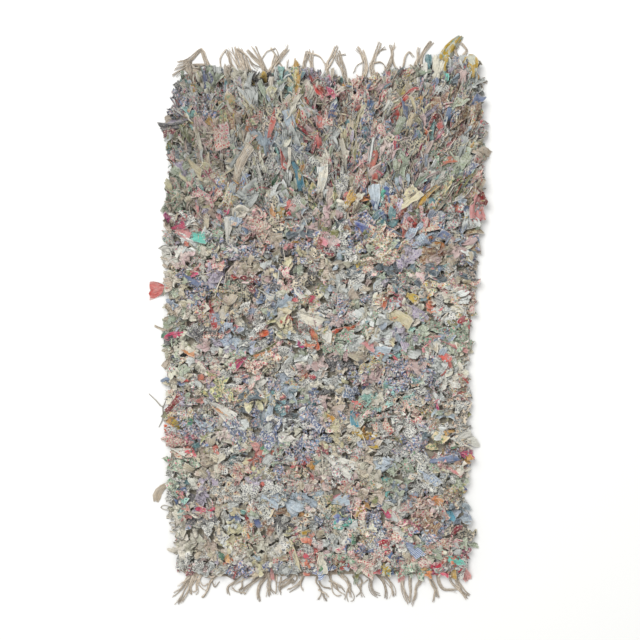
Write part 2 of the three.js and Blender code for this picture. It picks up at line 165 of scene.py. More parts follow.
# Rags that lie on top of the pile and show whole, in the same columns.
TOP_RAGS = [
    (-215, 590, -218, 528, 16, 0, "pleated", "linen"),
    (-378, 584, -368, 514, 18, 0, "pleated", "calico"),
    (-200, 506, -190, 440, 18, 0, "pleated", "linen"),
    (-110, 662, -88, 594, 30, 0, "pleated", "pale_blue"),
    (-75, 690, -72, 746, 16, 0, "flat", "mustard"),
    (-62, 648, -72, 600, 14, 0, "pleated", "mustard"),
    (-160, 540, -128, 640, 14, 5, "pleated", "coral"),
    (-32, 754, 12, 706, 36, -6, "pleated", "scarlet"),
    (14, 722, 38, 698, 16, 0, "flat", "magenta"),
    (0, 650, -5, 600, 20, 0, "flat", "coral"),
    (24, 648, 26, 606, 34, 0, "flat", "rose_sprig"),
    (-4, 576, -2, 534, 26, 0, "puff", "coral"),
    (226, 646, 256, 686, 12, -5, "pleated", "scarlet"),
    (250, 676, 298, 704, 11, 6, "pleated", "scarlet"),
    (327, 690, 358, 732, 14, 0, "pleated", "cornflower"),
    (331, 580, 353, 630, 15, 0, "pleated", "crimson"),
    (362, 566, 384, 640, 8, -6, "rolled", "worn_grey"),
    (362, 636, 356, 682, 26, 0, "pleated", "brown_spot"),
    (488, 620, 486, 664, 22, 0, "pleated", "brown_spot"),
    (466, 656, 492, 690, 32, 0, "flat", "cornflower"),
    (398, 648, 436, 676, 34, 0, "flat", "sage"),
    (388, 722, 392, 750, 18, 0, "flat", "turquoise"),
    (-300, 660, -276, 600, 40, 0, "flat", "brown_spot"),
    (-410, 262, -362, 252, 34, 0, "flat", "turquoise"),
    (-448, 276, -412, 262, 30, 0, "flat", "rose"),
    (-16, 262, -56, 272, 26, 0, "puff", "slate"),
    (-58, 266, -96, 258, 24, 0, "tuft", "slate"),
    (-96, 262, -130, 266, 20, 0, "pleated", "slate"),
    (-340, 60, -338, -22, 18, 0, "flat", "coral"),
    (-192, 96, -146, 66, 42, 0, "fan", "linen"),
    (-84, 114, -50, 80, 42, 0, "flat", "linen"),
    (-150, 20, -112, 70, 46, 0, "pleated", "pale_blue"),
    (-425, 140, -378, 112, 26, 0, "pleated", "cornflower"),
    (-430, -92, -396, -104, 20, 0, "flat", "apricot"),
    (200, 196, 232, 240, 20, 0, "flat", "sage"),
    (96, 62, 60, 34, 40, 0, "puff", "navy_floral"),
    (208, 34, 262, -22, 66, 0, "flat", "butter"),
    (262, 44, 318, 8, 26, 4, "pleated", "lilac"),
    (184, 0, 176, -46, 16, 0, "pleated", "linen"),
    (132, 20, 150, -50, 12, 0, "pleated", "calico"),
    (-66, 22, -4, -8, 46, 0, "puff", "calico"),
    (20, -8, 18, -50, 36, 0, "flat", "linen"),
    (-36, -16, -12, -86, 20, 4, "pleated", "tangerine"),
    (110, -14, 74, -34, 18, 4, "pleated", "tangerine"),
    (80, -26, 50, -44, 16, -3, "pleated", "tangerine"),
    (-145, -34, -204, -60, 13, -3, "rolled", "tangerine"),
    (-126, -66, -214, -106, 13, 8, "rolled", "olive"),
    (-140, -92, -196, -112, 12, 0, "pleated", "apricot"),
    (-220, -112, -272, -140, 28, 0, "fan", "magenta"),
    (-240, -120, -268, -134, 15, 0, "puff", "mustard"),
    (156, -98, 208, -104, 44, 0, "flat", "pale_blue"),
    (250, -96, 304, -106, 50, 0, "flat", "worn_grey"),
    (128, -64, 158, -78, 26, 0, "puff", "rose"),
    (362, -112, 396, -130, 22, 7, "pleated", "coral"),
    (394, -122, 386, -170, 24, 8, "pleated", "coral"),
    (378, -66, 452, -96, 16, 0, "pleated", "rose"),
    (262, -132, 318, -152, 44, 0, "flat", "dusty_pink"),
    (-362, -244, -276, -296, 40, 0, "fan", "linen"),
    (-340, -262, -296, -294, 11, 0, "flat", "apricot"),
    (-268, -256, -220, -232, 34, -4, "pleated", "slate"),
    (-226, -240, -184, -226, 28, 0, "tuft", "slate"),
    (-176, -262, -184, -334, 24, 0, "flat", "slate"),
    (-152, -232, -168, -306, 26, 6, "pleated", "pale_blue"),
    (-398, -302, -332, -342, 26, 0, "pleated", "pale_blue"),
    (-290, -306, -240, -366, 50, 0, "puff", "blue_floral"),
    (-130, -300, -170, -384, 48, 0, "pleated", "blue_floral"),
    (-42, -296, -2, -326, 40, 0, "tuft", "blue_floral"),
    (96, -280, 104, -320, 22, 0, "flat", "azure"),
    (-470, -396, -414, -412, 26, 0, "fan", "linen"),
    (2, -382, 20, -404, 14, 0, "flat", "crimson"),
    (0, -412, 88, -458, 46, 0, "fan", "linen"),
    (408, -372, 462, -362, 40, 0, "fan", "linen"),
    (428, -405, 474, -420, 30, 0, "fan", "magenta"),
    (340, -440, 420, -430, 24, 0, "pleated", "cornflower"),
    (396, -458, 440, -480, 15, 0, "pleated", "rose"),
    (-452, -522, -424, -524, 14, 0, "fan", "cobalt"),
    (-350, -512, -314, -536, 36, 0, "flat", "daisy"),
    (-250, -506, -196, -534, 44, 0, "flat", "navy_dot"),
    (-178, -544, -140, -566, 38, 0, "puff", "pale_blue"),
    (-114, -556, -74, -580, 36, 0, "flat", "pale_blue"),
    (-58, -544, -16, -566, 34, 0, "puff", "pale_blue"),
    (36, -562, 82, -556, 26, 0, "puff", "pale_blue"),
    (336, -548, 368, -564, 26, 0, "flat", "apricot"),
    (184, -584, 216, -602, 30, 0, "puff", "magenta"),
    (306, -606, 356, -650, 58, 0, "flat", "brown_spot"),
    (-232, -606, -206, -654, 14, 0, "pleated", "crimson"),
    (102, -656, 106, -692, 22, 0, "flat", "emerald"),
    (-96, -680, -70, -764, 15, 3, "pleated", "butter"),
    (-106, -690, -76, -768, 5, 3, "rolled", "coral"),
    (2, -720, 2, -776, 30, 0, "flat", "calico"),
    (-8, -722, -8, -776, 6, 0, "rolled", "coral"),
    (254, -684, 306, -720, 52, 0, "flat", "blue_stripe"),
    (394, -740, 434, -746, 24, 0, "tuft", "turquoise"),
    (106, -742, 160, -770, 40, 0, "flat", "rose_sprig"),
    (-288, 230, -282, 302, 26, 0, "fan", "linen"),
    (-296, 296, -318, 320, 15, 0, "pleated", "rose"),
    (-4, 230, 34, 206, 15, -4, "pleated", "crimson"),
    (10, 272, 46, 238, 30, 0, "flat", "dusty_pink"),
    (-60, 700, -96, 632, 20, 0, "pleated", "calico"),
    (-330, 716, -312, 752, 32, 0, "puff", "sage"),
    (-74, 716, -74, 766, 34, 0, "puff", "lemon_print"),
    (-478, 566, -440, 572, 24, 0, "puff", "maroon_print"),
    (306, -458, 352, -498, 38, 0, "flat", "blue_check"),
    (230, 560, 254, 614, 18, 0, "pleated", "sage"),
    (150, 450, 166, 545, 10, 3, "rolled", "worn_grey"),
    (82, 452, 70, 540, 10, -3, "rolled", "calico"),
    (-10, 380, 18, 470, 22, -4, "pleated", "calico"),
    (298, 336, 356, 410, 9, 5, "rolled", "mustard"),
    (340, 320, 412, 396, 10, -4, "rolled", "calico"),
    (400, 364, 460, 400, 9, -6, "rolled", "linen"),
    (370, 370, 404, 430, 18, 0, "pleated", "lemon_print"),
    (434, 340, 438, 372, 24, 0, "puff", "pale_blue"),
    (214, 358, 213, 400, 32, 0, "puff", "cobalt"),
    (244, 352, 292, 392, 44, 0, "puff", "butter"),
    (172, 338, 170, 404, 32, 0, "pleated", "pale_blue"),
    (50, 366, 46, 424, 36, 0, "puff", "lemon_print"),
    (84, 346, 100, 388, 30, 0, "puff", "mustard"),
    (343, 240, 382, 262, 30, 0, "flat", "cornflower"),
    (-260, 420, -230, 520, 26, 3, "pleated", "oatmeal"),
    (72, 140, 118, 160, 34, 0, "puff", "slate"),
    (200, 158, 234, 124, 32, 0, "puff", "slate"),
    (306, 168, 352, 158, 34, 0, "tuft", "slate"),
    (340, 130, 380, 118, 22, 0, "puff", "slate"),
    (424, 146, 466, 126, 26, 0, "tuft", "slate"),
]

# Places whose topmost rags are of a known fabric.
ACCENTS = {
    "sunny_floral": [(-385, 700), (380, 780), (440, 745)],
    "charcoal": [(-455, 600), (116, 481), (-215, -245), (-178, -295), (-411, 549), (23, -738)],
    "brown_spot": [(-285, 625), (-300, 650), (361, 657), (488, 629), (380, 598), (327, -9),
                   (333, -629), (345, -640), (470, 585)],
    "coral": [(-388, 744), (386, 493), (-411, 316), (-169, -431), (-178, -508), (188, -366),
              (-401, -347), (-315, -403)],
    "magenta": [(20, 713), (420, 564), (-302, 310), (-398, 136), (54, 236), (448, -412),
                (197, -589), (-370, -586), (-333, -589)],
    "crimson": [(-392, 724), (-370, 706), (-8, 626), (-5, 555), (-113, 496), (-451, 326),
                (2, 220), (194, -65), (445, -189), (442, -236), (-436, -236), (129, -403),
                (188, -698), (392, -744), (494, 384), (451, 0), (-448, -251), (-225, -611),
                (-206, -648)],
    "maroon_print": [(11, -394), (-408, -775), (-400, -765), (100, 640), (150, 700)],
    "apricot": [(-206, 626), (-256, 282), (-160, 344), (-113, 301), (-414, -90), (-172, -47),
                (-23, -50), (293, 195), (79, -28), (-321, -273), (352, -558), (-243, -124)],
    "sage": [(-138, 729), (-327, 778), (330, -298)],
    "navy_floral": [(-299, 412), (-14, 409), (476, 673), (420, 468), (293, 462), (140, 291),
                    (120, 288), (160, 285), (79, 53), (287, 0), (-85, -93), (-262, -313),
                    (-160, -357), (-29, -313), (219, -236), (321, -326), (157, -295), (243, -530)],
    "cobalt": [(-144, 391), (-98, 375), (318, 391), (79, 453), (-435, -560)],
    "emerald": [(-138, 434), (191, 220), (76, 198), (414, -394), (-408, -323)],
    "lemon_print": [(36, 381), (60, 419), (277, 378), (88, 384), (88, -384)],
    "mustard": [(88, 350), (-225, 208), (-228, -288), (-138, -611), (-60, -598), (-262, -694),
                (-333, -713), (-39, -663), (414, -775)],
    "lilac": [(-435, 480), (-296, -186), (-324, -744), (305, 28)],
    "olive": [(-166, -161), (-209, -81), (-411, 555), (330, -290)],
    "aqua": [(389, 735), (141, -236), (160, -248), (26, -611), (-212, -707), (350, -690)],
    "teal": [(188, 713), (191, 670), (321, 71), (-110, 745)],
    "cornflower": [(330, 694), (277, 657), (364, 254), (-231, 282), (-436, 127)],
    "pale_blue": [(184, -96), (277, -102), (-361, -319), (-98, -567), (-33, -567), (73, -558),
                  (-120, 50)],
    "worn_grey": [(460, 319), (-361, 520), (105, -633), (112, -636), (71, -639), (78, -637),
                  (363, -251), (366, -244), (98, -644), (90, -640)],
    "calico": [(-308, 0), (17, -28), (-290, -270), (-398, 484), (180, -489), (176, -484),
               (184, -494), (208, -525), (204, -518)],
    "dusty_pink": [(20, 264), (147, 112), (277, -146), (141, -71), (132, -763), (256, -763),
                   (451, -780)],
    "daisy": [(-253, -192), (-330, -524), (-290, -500), (-270, -560)],
    "rose_sprig": [(322, -757), (328, -752), (386, -791)],
}

# Stretches of the rug where one fabric was used more than others: place, reach and share.
ZONES = [
    (126, 688, 75, 60, "rose_sprig", 0.55),
    (-235, 95, 75, 40, "leopard", 0.75),
    (-180, 215, 180, 45, "navy_floral", 0.3),
    (-277, -524, 90, 42, "daisy", 0.6),
    (-200, -540, 90, 40, "navy_dot", 0.5),
    (140, 288, 60, 20, "navy_floral", 0.6),
    (290, 148, 210, 26, "slate", 0.35),
    (230, -240, 110, 24, "aqua", 0.3),
    (250, -330, 120, 30, "navy_dot", 0.5),
    (-100, -350, 190, 30, "navy_floral", 0.35),
    (-80, -560, 90, 26, "pale_blue", 0.5),
    (340, -490, 90, 60, "navy_dot", 0.5),
    (150, -740, 300, 24, "rose_sprig", 0.4),
    (-420, -640, 60, 90, "calico", 0.5),
    (-330, 500, 150, 70, "oatmeal", 0.35),
    (390, 610, 90, 60, "brown_spot", 0.35),
    (-390, 330, 80, 70, "oatmeal", 0.4),
    (330, 260, 120, 40, "blue_check", 0.3),
    (400, -420, 80, 40, "rose_sprig", 0.4),
    (-455, -40, 60, 230, "calico", 0.4),
    (-280, 614, 42, 66, "brown_spot", 0.4),
    (-410, 545, 55, 26, "olive", 0.45),
    (-455, -40, 60, 230, "oatmeal", 0.35),
    (120, 640, 340, 110, "butter", 0.1),
    (-60, 690, 360, 90, "calico", 0.12),
    (-450, -60, 50, 200, "sage", 0.3),
]

# Stretches where the rags are made paler or darker than elsewhere: place, reach and change of tone.
SHADED = [
    (-445, 588, 50, 26, -0.4),
    (-340, 570, 150, 170, -0.32),
    (40, 345, 150, 50, 0.3),
    (0, 96, 70, 40, -0.25),
    (348, 220, 70, 50, -0.25),
    (330, -760, 140, 50, 0.25),
    (-110, 215, 90, 50, -0.28),
    (224, 225, 70, 60, 0.4),
    (-330, 60, 140, 90, -0.5),
    (-210, -30, 100, 50, -0.18),
    (340, -150, 80, 60, 0.22),
    (-290, -275, 120, 60, -0.2),
    (350, -360, 80, 90, 0.32),
    (230, -525, 70, 50, -0.26),
    (165, -650, 100, 60, 0.28),
    (110, 700, 110, 50, 0.2),
    (280, 590, 200, 60, -0.08),
]

# Cords and threads that lie on the pile or stick out of it: their points, the radius and how
# light they are.
LOOSE_CORDS = [
    ([(-466, -232), (-478, -250), (-491, -272), (-512, -252), (-534, -231)], 1.7, 0.1),
    ([(-480, -256), (-490, -274), (-489, -296), (-491, -310), (-503, -336)], 1.4, 0.0),
    ([(-458, -584), (-474, -580), (-488, -579), (-497, -586), (-488, -592), (-462, -590)], 1.4, 0.3),
    ([(110, -539), (101, -570), (97, -608), (106, -640), (116, -663)], 1.5, 0.9),
    ([(178, -484), (191, -525), (184, -567)], 1.3, 0.9),
    ([(119, -335), (137, -370), (147, -415)], 1.3, 0.9),
    ([(-425, 181), (-408, 161), (-381, 147), (-351, 142), (-327, 154), (-318, 181)], 1.2, 0.9),
    ([(-298, 140), (-315, 105), (-327, 65)], 2.0, 0.9),
    ([(-117, 241), (-110, 190), (-112, 127)], 1.3, 0.9),
    ([(3, -395), (9, -450), (6, -510)], 1.4, 0.9),
    ([(248, -391), (285, -420), (312, -448), (355, -492)], 1.6, 0.9),
    ([(268, -239), (284, -258), (295, -286)], 1.2, 0.9),
    ([(-190, -300), (-182, -350), (-200, -395)], 1.2, 0.9),
    ([(420, 560), (395, 520), (402, 470)], 1.3, 0.9),
    ([(-60, 330), (-40, 290), (-52, 240)], 1.2, 0.9),
]

# Tassel strands: width at the root, width at the tip, number of yarns, then the way that the
# strand lies on the floor, from the pile to its tip.
FAR_STRANDS = [
    (13, 9, 6, [(-346, 784), (-358, 815), (-372, 841), (-388, 826), (-410, 808), (-445, 800)]),
    (5, 3, 2, [(-408, 806), (-420, 794), (-454, 787)]),
    (8, 3, 3, [(-368, 794), (-405, 790), (-435, 777), (-461, 761)]),
    (3, 2, 1, [(-308, 781), (-311, 812), (-291, 842)]),
    (12, 7, 5, [(-271, 781), (-285, 822), (-291, 840)]),
    (12, 10, 5, [(-243, 766), (-260, 803), (-276, 849)]),
    (11, 8, 5, [(-229, 766), (-246, 803), (-262, 848)]),
    (15, 8, 6, [(-215, 760), (-231, 803), (-250, 842)]),
    (4, 2, 2, [(-248, 837), (-229, 823), (-209, 795), (-192, 785)]),
    (16, 9, 6, [(-166, 772), (-188, 797), (-214, 822), (-228, 840)]),
    (6, 2, 2, [(-178, 787), (-194, 822), (-211, 853)]),
    (6, 2, 2, [(-172, 784), (-191, 828), (-202, 853)]),
    (16, 11, 6, [(-158, 766), (-142, 798), (-138, 822), (-153, 844)]),
    (3, 2, 1, [(-153, 840), (-166, 834), (-176, 820), (-180, 810)]),
    (12, 7, 5, [(-150, 772), (-132, 803), (-115, 828), (-102, 843)]),
    (6, 2, 2, [(-105, 772), (-122, 794), (-135, 809)]),
    (3, 1, 1, [(-110, 834), (-103, 846), (-101, 857)]),
    (3, 2, 1, [(-103, 781), (-103, 797), (-103, 809)]),
    (13, 8, 5, [(-48, 763), (-50, 798), (-38, 839)]),
    (13, 10, 5, [(-22, 763), (-26, 797), (-29, 842)]),
    (5, 3, 2, [(-25, 828), (-2, 820), (14, 803), (22, 787)]),
    (11, 6, 4, [(22, 763), (23, 800), (40, 830), (50, 852)]),
    (4, 3, 2, [(29, 790), (42, 814), (50, 834)]),
    (16, 9, 6, [(76, 747), (69, 787), (61, 818), (55, 839)]),
    (5, 3, 2, [(67, 778), (54, 803), (50, 825)]),
    (3, 2, 1, [(64, 825), (77, 828)]),
    (14, 9, 5, [(135, 744), (141, 784), (137, 813), (124, 849)]),
    (5, 3, 2, [(132, 815), (124, 831), (111, 842)]),
    (3, 2, 1, [(135, 804), (117, 792), (110, 769)]),
    (14, 8, 5, [(169, 756), (158, 790), (168, 813), (189, 862)]),
    (4, 3, 2, [(178, 828), (188, 840), (202, 849)]),
    (4, 2, 2, [(166, 799), (190, 802), (200, 792), (202, 772)]),
    (11, 6, 4, [(208, 781), (222, 809), (225, 834), (215, 856)]),
    (5, 2, 2, [(232, 790), (226, 815), (226, 861)]),
    (3, 2, 1, [(226, 834), (232, 853)]),
    (5, 4, 2, [(259, 790), (267, 822), (277, 834), (291, 822)]),
    (22, 5, 8, [(308, 797), (318, 825), (346, 866)]),
    (6, 3, 3, [(302, 803), (304, 825), (307, 845)]),
    (12, 7, 4, [(445, 794), (428, 822), (422, 840), (432, 857)]),
    (9, 5, 4, [(448, 797), (449, 823), (459, 839), (449, 854), (439, 867)]),
    (8, 3, 3, [(479, 738), (498, 747), (510, 752)]),
    (8, 3, 3, [(479, 735), (501, 741), (517, 738)]),
    (6, 3, 2, [(482, 732), (501, 735), (508, 721)]),
]
NEAR_STRANDS = [
    (10, 4, 4, [(-411, -806), (-433, -840), (-459, -861)]),
    (11, 3, 4, [(-403, -806), (-427, -852), (-446, -891)]),
    (9, 4, 4, [(-397, -809), (-414, -849), (-432, -880)]),
    (9, 6, 3, [(-392, -809), (-401, -834), (-398, -856)]),
    (8, 3, 3, [(-374, -806), (-384, -828), (-383, -846), (-394, -856)]),
    (4, 2, 2, [(-377, -815), (-362, -829), (-352, -823)]),
    (3, 2, 1, [(-378, -826), (-364, -842), (-352, -844)]),
    (3, 2, 1, [(-414, -809), (-429, -822), (-436, -834)]),
    (13, 4, 5, [(-323, -794), (-343, -818), (-349, -842), (-365, -871)]),
    (3, 1, 1, [(-334, -822), (-329, -832), (-323, -818)]),
    (10, 3, 4, [(-248, -794), (-265, -816), (-289, -838), (-287, -856)]),
    (4, 2, 2, [(-293, -797), (-265, -809), (-256, -806)]),
    (6, 3, 3, [(-234, -797), (-243, -820), (-242, -832), (-253, -846)]),
    (3, 2, 1, [(-225, -806), (-258, -820), (-274, -828)]),
    (14, 9, 5, [(-188, -797), (-206, -814), (-224, -832), (-246, -851)]),
    (4, 2, 2, [(-243, -851), (-261, -848), (-277, -835)]),
    (16, 4, 6, [(-164, -794), (-184, -818), (-191, -846), (-187, -877)]),
    (14, 7, 5, [(-158, -806), (-160, -836), (-160, -861)]),
    (6, 3, 2, [(-157, -828), (-152, -843), (-143, -856)]),
    (4, 3, 2, [(-137, -809), (-136, -831), (-136, -852)]),
    (4, 2, 2, [(-124, -815), (-128, -834), (-126, -854)]),
    (17, 10, 6, [(-76, -790), (-97, -810), (-131, -828)]),
    (4, 2, 2, [(-91, -818), (-110, -829), (-126, -837)]),
    (4, 3, 2, [(-71, -797), (-74, -812), (-88, -823)]),
    (8, 5, 3, [(-50, -797), (-62, -820), (-101, -849)]),
    (5, 2, 2, [(-57, -809), (-60, -828), (-53, -845)]),
    (6, 3, 2, [(-8, -794), (-12, -816), (4, -846), (-6, -878)]),
    (5, 2, 2, [(0, -837), (10, -859), (17, -879)]),
    (4, 2, 2, [(5, -848), (16, -854), (25, -866)]),
    (6, 3, 2, [(-6, -806), (-2, -820), (11, -832), (33, -839)]),
    (12, 8, 4, [(31, -794), (33, -809), (43, -826), (55, -842)]),
    (5, 3, 2, [(46, -828), (57, -846), (74, -861)]),
    (5, 2, 2, [(39, -818), (57, -826), (78, -843)]),
    (3, 2, 1, [(37, -834), (39, -849), (51, -862), (65, -860)]),
    (12, 9, 5, [(65, -794), (82, -811), (90, -828), (90, -849)]),
    (6, 3, 2, [(90, -834), (82, -852), (77, -873)]),
    (6, 3, 2, [(91, -834), (93, -849), (98, -865)]),
    (3, 2, 1, [(95, -840), (107, -866), (104, -877), (96, -879)]),
    (6, 3, 2, [(115, -800), (129, -812), (126, -837), (135, -868)]),
    (5, 2, 2, [(108, -809), (118, -831), (126, -846), (115, -862)]),
    (2, 1, 1, [(128, -825), (138, -820), (150, -814)]),
    (13, 6, 5, [(136, -790), (157, -809), (158, -832), (168, -851), (186, -859)]),
    (12, 6, 4, [(178, -789), (198, -820), (208, -846), (209, -871)]),
    (12, 17, 6, [(194, -794), (217, -822), (225, -843), (228, -865)]),
    (12, 8, 5, [(256, -800), (257, -831), (264, -858), (274, -884)]),
    (11, 9, 4, [(281, -787), (279, -826), (284, -852), (279, -880)]),
    (11, 8, 4, [(304, -787), (312, -814), (298, -834), (297, -858), (284, -887)]),
    (10, 7, 4, [(338, -790), (346, -815), (360, -840), (363, -871)]),
    (4, 2, 2, [(360, -846), (356, -865), (357, -877)]),
    (9, 7, 4, [(364, -790), (371, -820), (387, -840), (410, -842), (432, -846)]),
    (8, 6, 3, [(401, -794), (410, -822), (425, -835), (445, -854)]),
    (16, 8, 6, [(421, -800), (432, -826), (448, -845), (466, -861)]),
    (6, 3, 2, [(432, -837), (446, -856), (458, -867)]),
]
STRAND_ROOT_DEPTH = 12
STRAND_TIP = 5


def near_edge(x, column=1):
    return np.interp(x, NEAR_EDGE[:, 0], NEAR_EDGE[:, column])


def far_edge(x, column=1):
    return np.interp(x, FAR_EDGE[:, 0], FAR_EDGE[:, column])


def side_edge(y, column):
    return np.interp(y, SIDE_EDGES[:, 0], SIDE_EDGES[:, column])


def outline_point(u, v):
    """A place on the pile: u goes from left to right, v from the near to the far end."""
    rough_x = HALF_WIDTH * (2 * u - 1)
    near = near_edge(rough_x)
    y = near + v * (far_edge(rough_x) - near)
    left = side_edge(y, 1)
    return left + u * (side_edge(y, 2) - left), y


def inside_distance(x, y):
    """How far a place lies inside the pile's outline. It is negative outside."""
    across = np.minimum(x - side_edge(y, 1), side_edge(y, 2) - x)
    along = np.minimum(y - near_edge(x), far_edge(x) - y)
    return np.minimum(across, along)


def smooth(start, end, value):
    share = np.clip((value - start) / (end - start), 0, 1)
    return share * share * (3 - 2 * share)


def spread(rng, low, high, shape=None):
    return rng.uniform(low, high, shape)


# The nap: towards the far end the rags are longer and lean to that end and outwards.
NAP_FROM = 120
NAP_TO = 470


def nap(y):
    return smooth(NAP_FROM, NAP_TO, y)


# Rags. Each is a strip of cloth that rises from its knot in one step, the stem, and then flops
# over and lies on those below. It has folds across its width.
STEPS = 7
FLOP_STEPS = STEPS - 1
FOLDS = 8
ROOT_HEIGHT = 5
LIFT = 3.6
PILE_TOP = 38
NAP_ROOM = 4
HIGHEST = 41
KINDS = ("tuft", "puff", "rolled", "flat", "pleated", "fan", "leaf", "flap", "paddle")
TUFT, PUFF, ROLLED, FLAT, PLEATED, FAN, LEAF, FLAP, PADDLE = range(len(KINDS))

# Places of the knots: further ones at the rim and how far in they are, the margins of the
# others, how far they stray from even places, and how far the ends of a knot are from it.
RIM_KNOTS = 100
RIM_INSET = 0.012
SIDE_MARGIN = 0.014
END_MARGIN = 0.008
KNOT_STRAY = 0.2
ROW_STRAY = 0.12
END_APART = 4


def rim_knots(rows, knots):
    """Places of further knots close to the rim, where they hide the edge of the ground."""
    along = (np.arange(RIM_KNOTS) + 0.5) / RIM_KNOTS
    inset = np.full(RIM_KNOTS, RIM_INSET)
    u = np.concatenate([inset, 1 - inset, along])
    v = np.concatenate([along, along, 0.5 * inset])
    x, y = outline_point(u, v)
    return x, y, (v * rows).astype(int), (u * knots).astype(int)


def pile_knots(rng):
    """Places of all rag ends with their rows and knots, and the number that aren't at the rim."""
    rows = round((far_edge(0) - near_edge(0)) / ROW_PITCH)
    knots = round(2 * HALF_WIDTH / KNOT_PITCH)
    row, knot = np.meshgrid(np.arange(rows), np.arange(knots), indexing="ij")
    u = (knot + 0.5 + spread(rng, -KNOT_STRAY, KNOT_STRAY, row.shape)) / knots
    v = (row + 0.5 + spread(rng, -ROW_STRAY, ROW_STRAY, row.shape)) / rows
    u = SIDE_MARGIN + (1 - 2 * SIDE_MARGIN) * u
    v = END_MARGIN + (1 - 2 * END_MARGIN) * v
    x, y, row, knot = (np.repeat(part.ravel(), 2) for part in (*outline_point(u, v), row, knot))
    y = y + np.tile([-END_APART, END_APART], len(y) // 2)
    rim = rim_knots(rows, knots)
    return [np.concatenate(parts) for parts in zip((x, y, row, knot), rim)], len(y)


# Share of the rag ends that are kept in the low part of the pile, and what the nap adds.
KEPT_LOW = 0.56
KEPT_MORE = 0.34
# Shares of tufts, puffs and rolled strips in the low part, and what the nap adds. The rest are
# flat. The rags that are laid late in the low part are broad, and its tufts among them flat.
KIND_SHARES = ((0.38, 0.1), (0.31, -0.19), (0.21, 0.12))
BROAD_LATE = 0.75
BROAD_NAP = 0.5
BROAD_WIDTH = 1.15
# For tufts, puffs, rolled and flat rags: least and most width and length, the share of the
# width that rests on other rags, and how freely they bend.
PILE_WIDTHS = ((32, 54), (34, 56), (9, 16), (28, 50))
PILE_LENGTHS = ((36, 54), (40, 56), (46, 80), (42, 62))
RESTING_SHARES = (0.22, 0.22, 0.12, 0.34)
BEND_SHARES = (1, 1, 1.6, 0.6)
NAP_NARROWER = 0.28
NAP_LONGER = (0.45, 1.1)
# Ways of the rags in degrees. Those of the nap fan out to the sides, more evenly at the right,
# and some at the left turn back. Many of the others lie along their row.
RIGHT_FAN = 38
LEFT_FAN = 20
RIGHT_SCATTER = 19
LEFT_SCATTER = 30
TURNED_BACK = 0.16
TURNED_BACK_TO = 0.2
ALONG_ROW = 0.5
ROW_WAY = 8
ROW_SCATTER = 26


def pile_ways(rng, x, lean):
    count = len(x)
    sideways = np.clip(x / HALF_WIDTH, -1, 1)
    fan = np.where(sideways > 0, RIGHT_FAN, LEFT_FAN) * sideways
    scatter = np.where(sideways > 0, RIGHT_SCATTER, LEFT_SCATTER)
    way = 90 - fan + rng.normal(0, scatter, count)
    turned_back = (rng.random(count) < TURNED_BACK) & (sideways < TURNED_BACK_TO)
    way = np.where(turned_back, way + 180, way)
    along_row = 180 * (rng.random(count) < 0.5) + rng.normal(ROW_WAY, ROW_SCATTER, count)
    low_way = np.where(rng.random(count) < ALONG_ROW, along_row, spread(rng, 0, 360, count))
    return np.radians(np.where(rng.random(count) < lean, way, low_way))


def plan_pile(rng):
    """Roots, ways and sizes of the rags of all knots, two ends to a knot."""
    parts, inner = pile_knots(rng)
    lean = nap(parts[1])
    kept = rng.random(len(lean)) < KEPT_LOW + KEPT_MORE * lean
    kept |= np.arange(len(lean)) >= inner
    x, y, row, knot, lean = (part[kept] for part in (*parts, lean))
    count = len(x)

    share = np.stack([low + more * lean for low, more in KIND_SHARES], 1)
    draw = rng.random(count)
    kind = (draw[:, None] > np.cumsum(share, 1)).sum(1)
    late = rng.random(count)
    broad = (late > BROAD_LATE) & (lean < BROAD_NAP)
    kind = np.where(broad & (kind == TUFT), FLAT, kind)
    way = pile_ways(rng, x, lean)
    width = np.choose(kind, [spread(rng, *limits, count) for limits in PILE_WIDTHS])
    width = width * (1 - NAP_NARROWER * lean) * np.where(broad, BROAD_WIDTH, 1)
    long = np.choose(kind, [spread(rng, *limits, count) for limits in PILE_LENGTHS])
    long = long * (1 + lean * spread(rng, *NAP_LONGER, count))
    return {
        "x": x, "y": y, "row": row, "knot": knot, "kind": kind, "way": way, "width": width,
        "long": long, "lean": lean, "late": late, "lowest": y,
    }


# How far rags may reach past the outline, and how much less they may at the right side, at the
# far end, and at the near end and again in its right part.
RIM_ALLOWANCE = (-3, 9)
RIGHT_LESS = 6
FAR_FROM = 650
FAR_LESS = 12
NEAR_FROM = -730
NEAR_LESS = 4
NEAR_RIGHT_FROM = 60
# The longest reach that is looked at, the steps of looking, the least room that a rag needs,
# and by how much the way of a rag that turns back may differ.
FULL_REACH = 200
REACH_STEP = 4
LEAST_REACH = 8
TURN_BACK_SCATTER = 0.9


def turn_in_at_rim(rng, rags):
    """Rags near the rim are cut to end near the outline, or turn back where they have no room."""
    x, y, way = rags["x"], rags["y"], rags["way"]
    allowance = spread(rng, *RIM_ALLOWANCE, len(x)) - np.where(x > 0, RIGHT_LESS, 0)
    near_end = y < NEAR_FROM
    allowance -= np.where(near_end, NEAR_LESS, 0)
    allowance -= np.where(near_end & (x > NEAR_RIGHT_FROM), NEAR_LESS, 0)
    allowance -= np.where(y > FAR_FROM, FAR_LESS, 0)
    room = np.full(len(x), float(FULL_REACH))
    for distance in range(FULL_REACH, 0, -REACH_STEP):
        outside = inside_distance(x + distance * np.cos(way), y + distance * np.sin(way)) < 0
        room = np.where(outside, distance, room)
    room = room + allowance
    tight = room < LEAST_REACH
    turn = np.pi + spread(rng, -TURN_BACK_SCATTER, TURN_BACK_SCATTER, len(x))
    rags["way"] = np.where(tight, way + turn, way)
    rags["reach"] = np.where(tight, FULL_REACH, np.maximum(room, LEAST_REACH))


# How steeply rags rise, in degrees, and how much less in the nap.
RISE = (62, 86)
NAP_RISE_LESS = 8
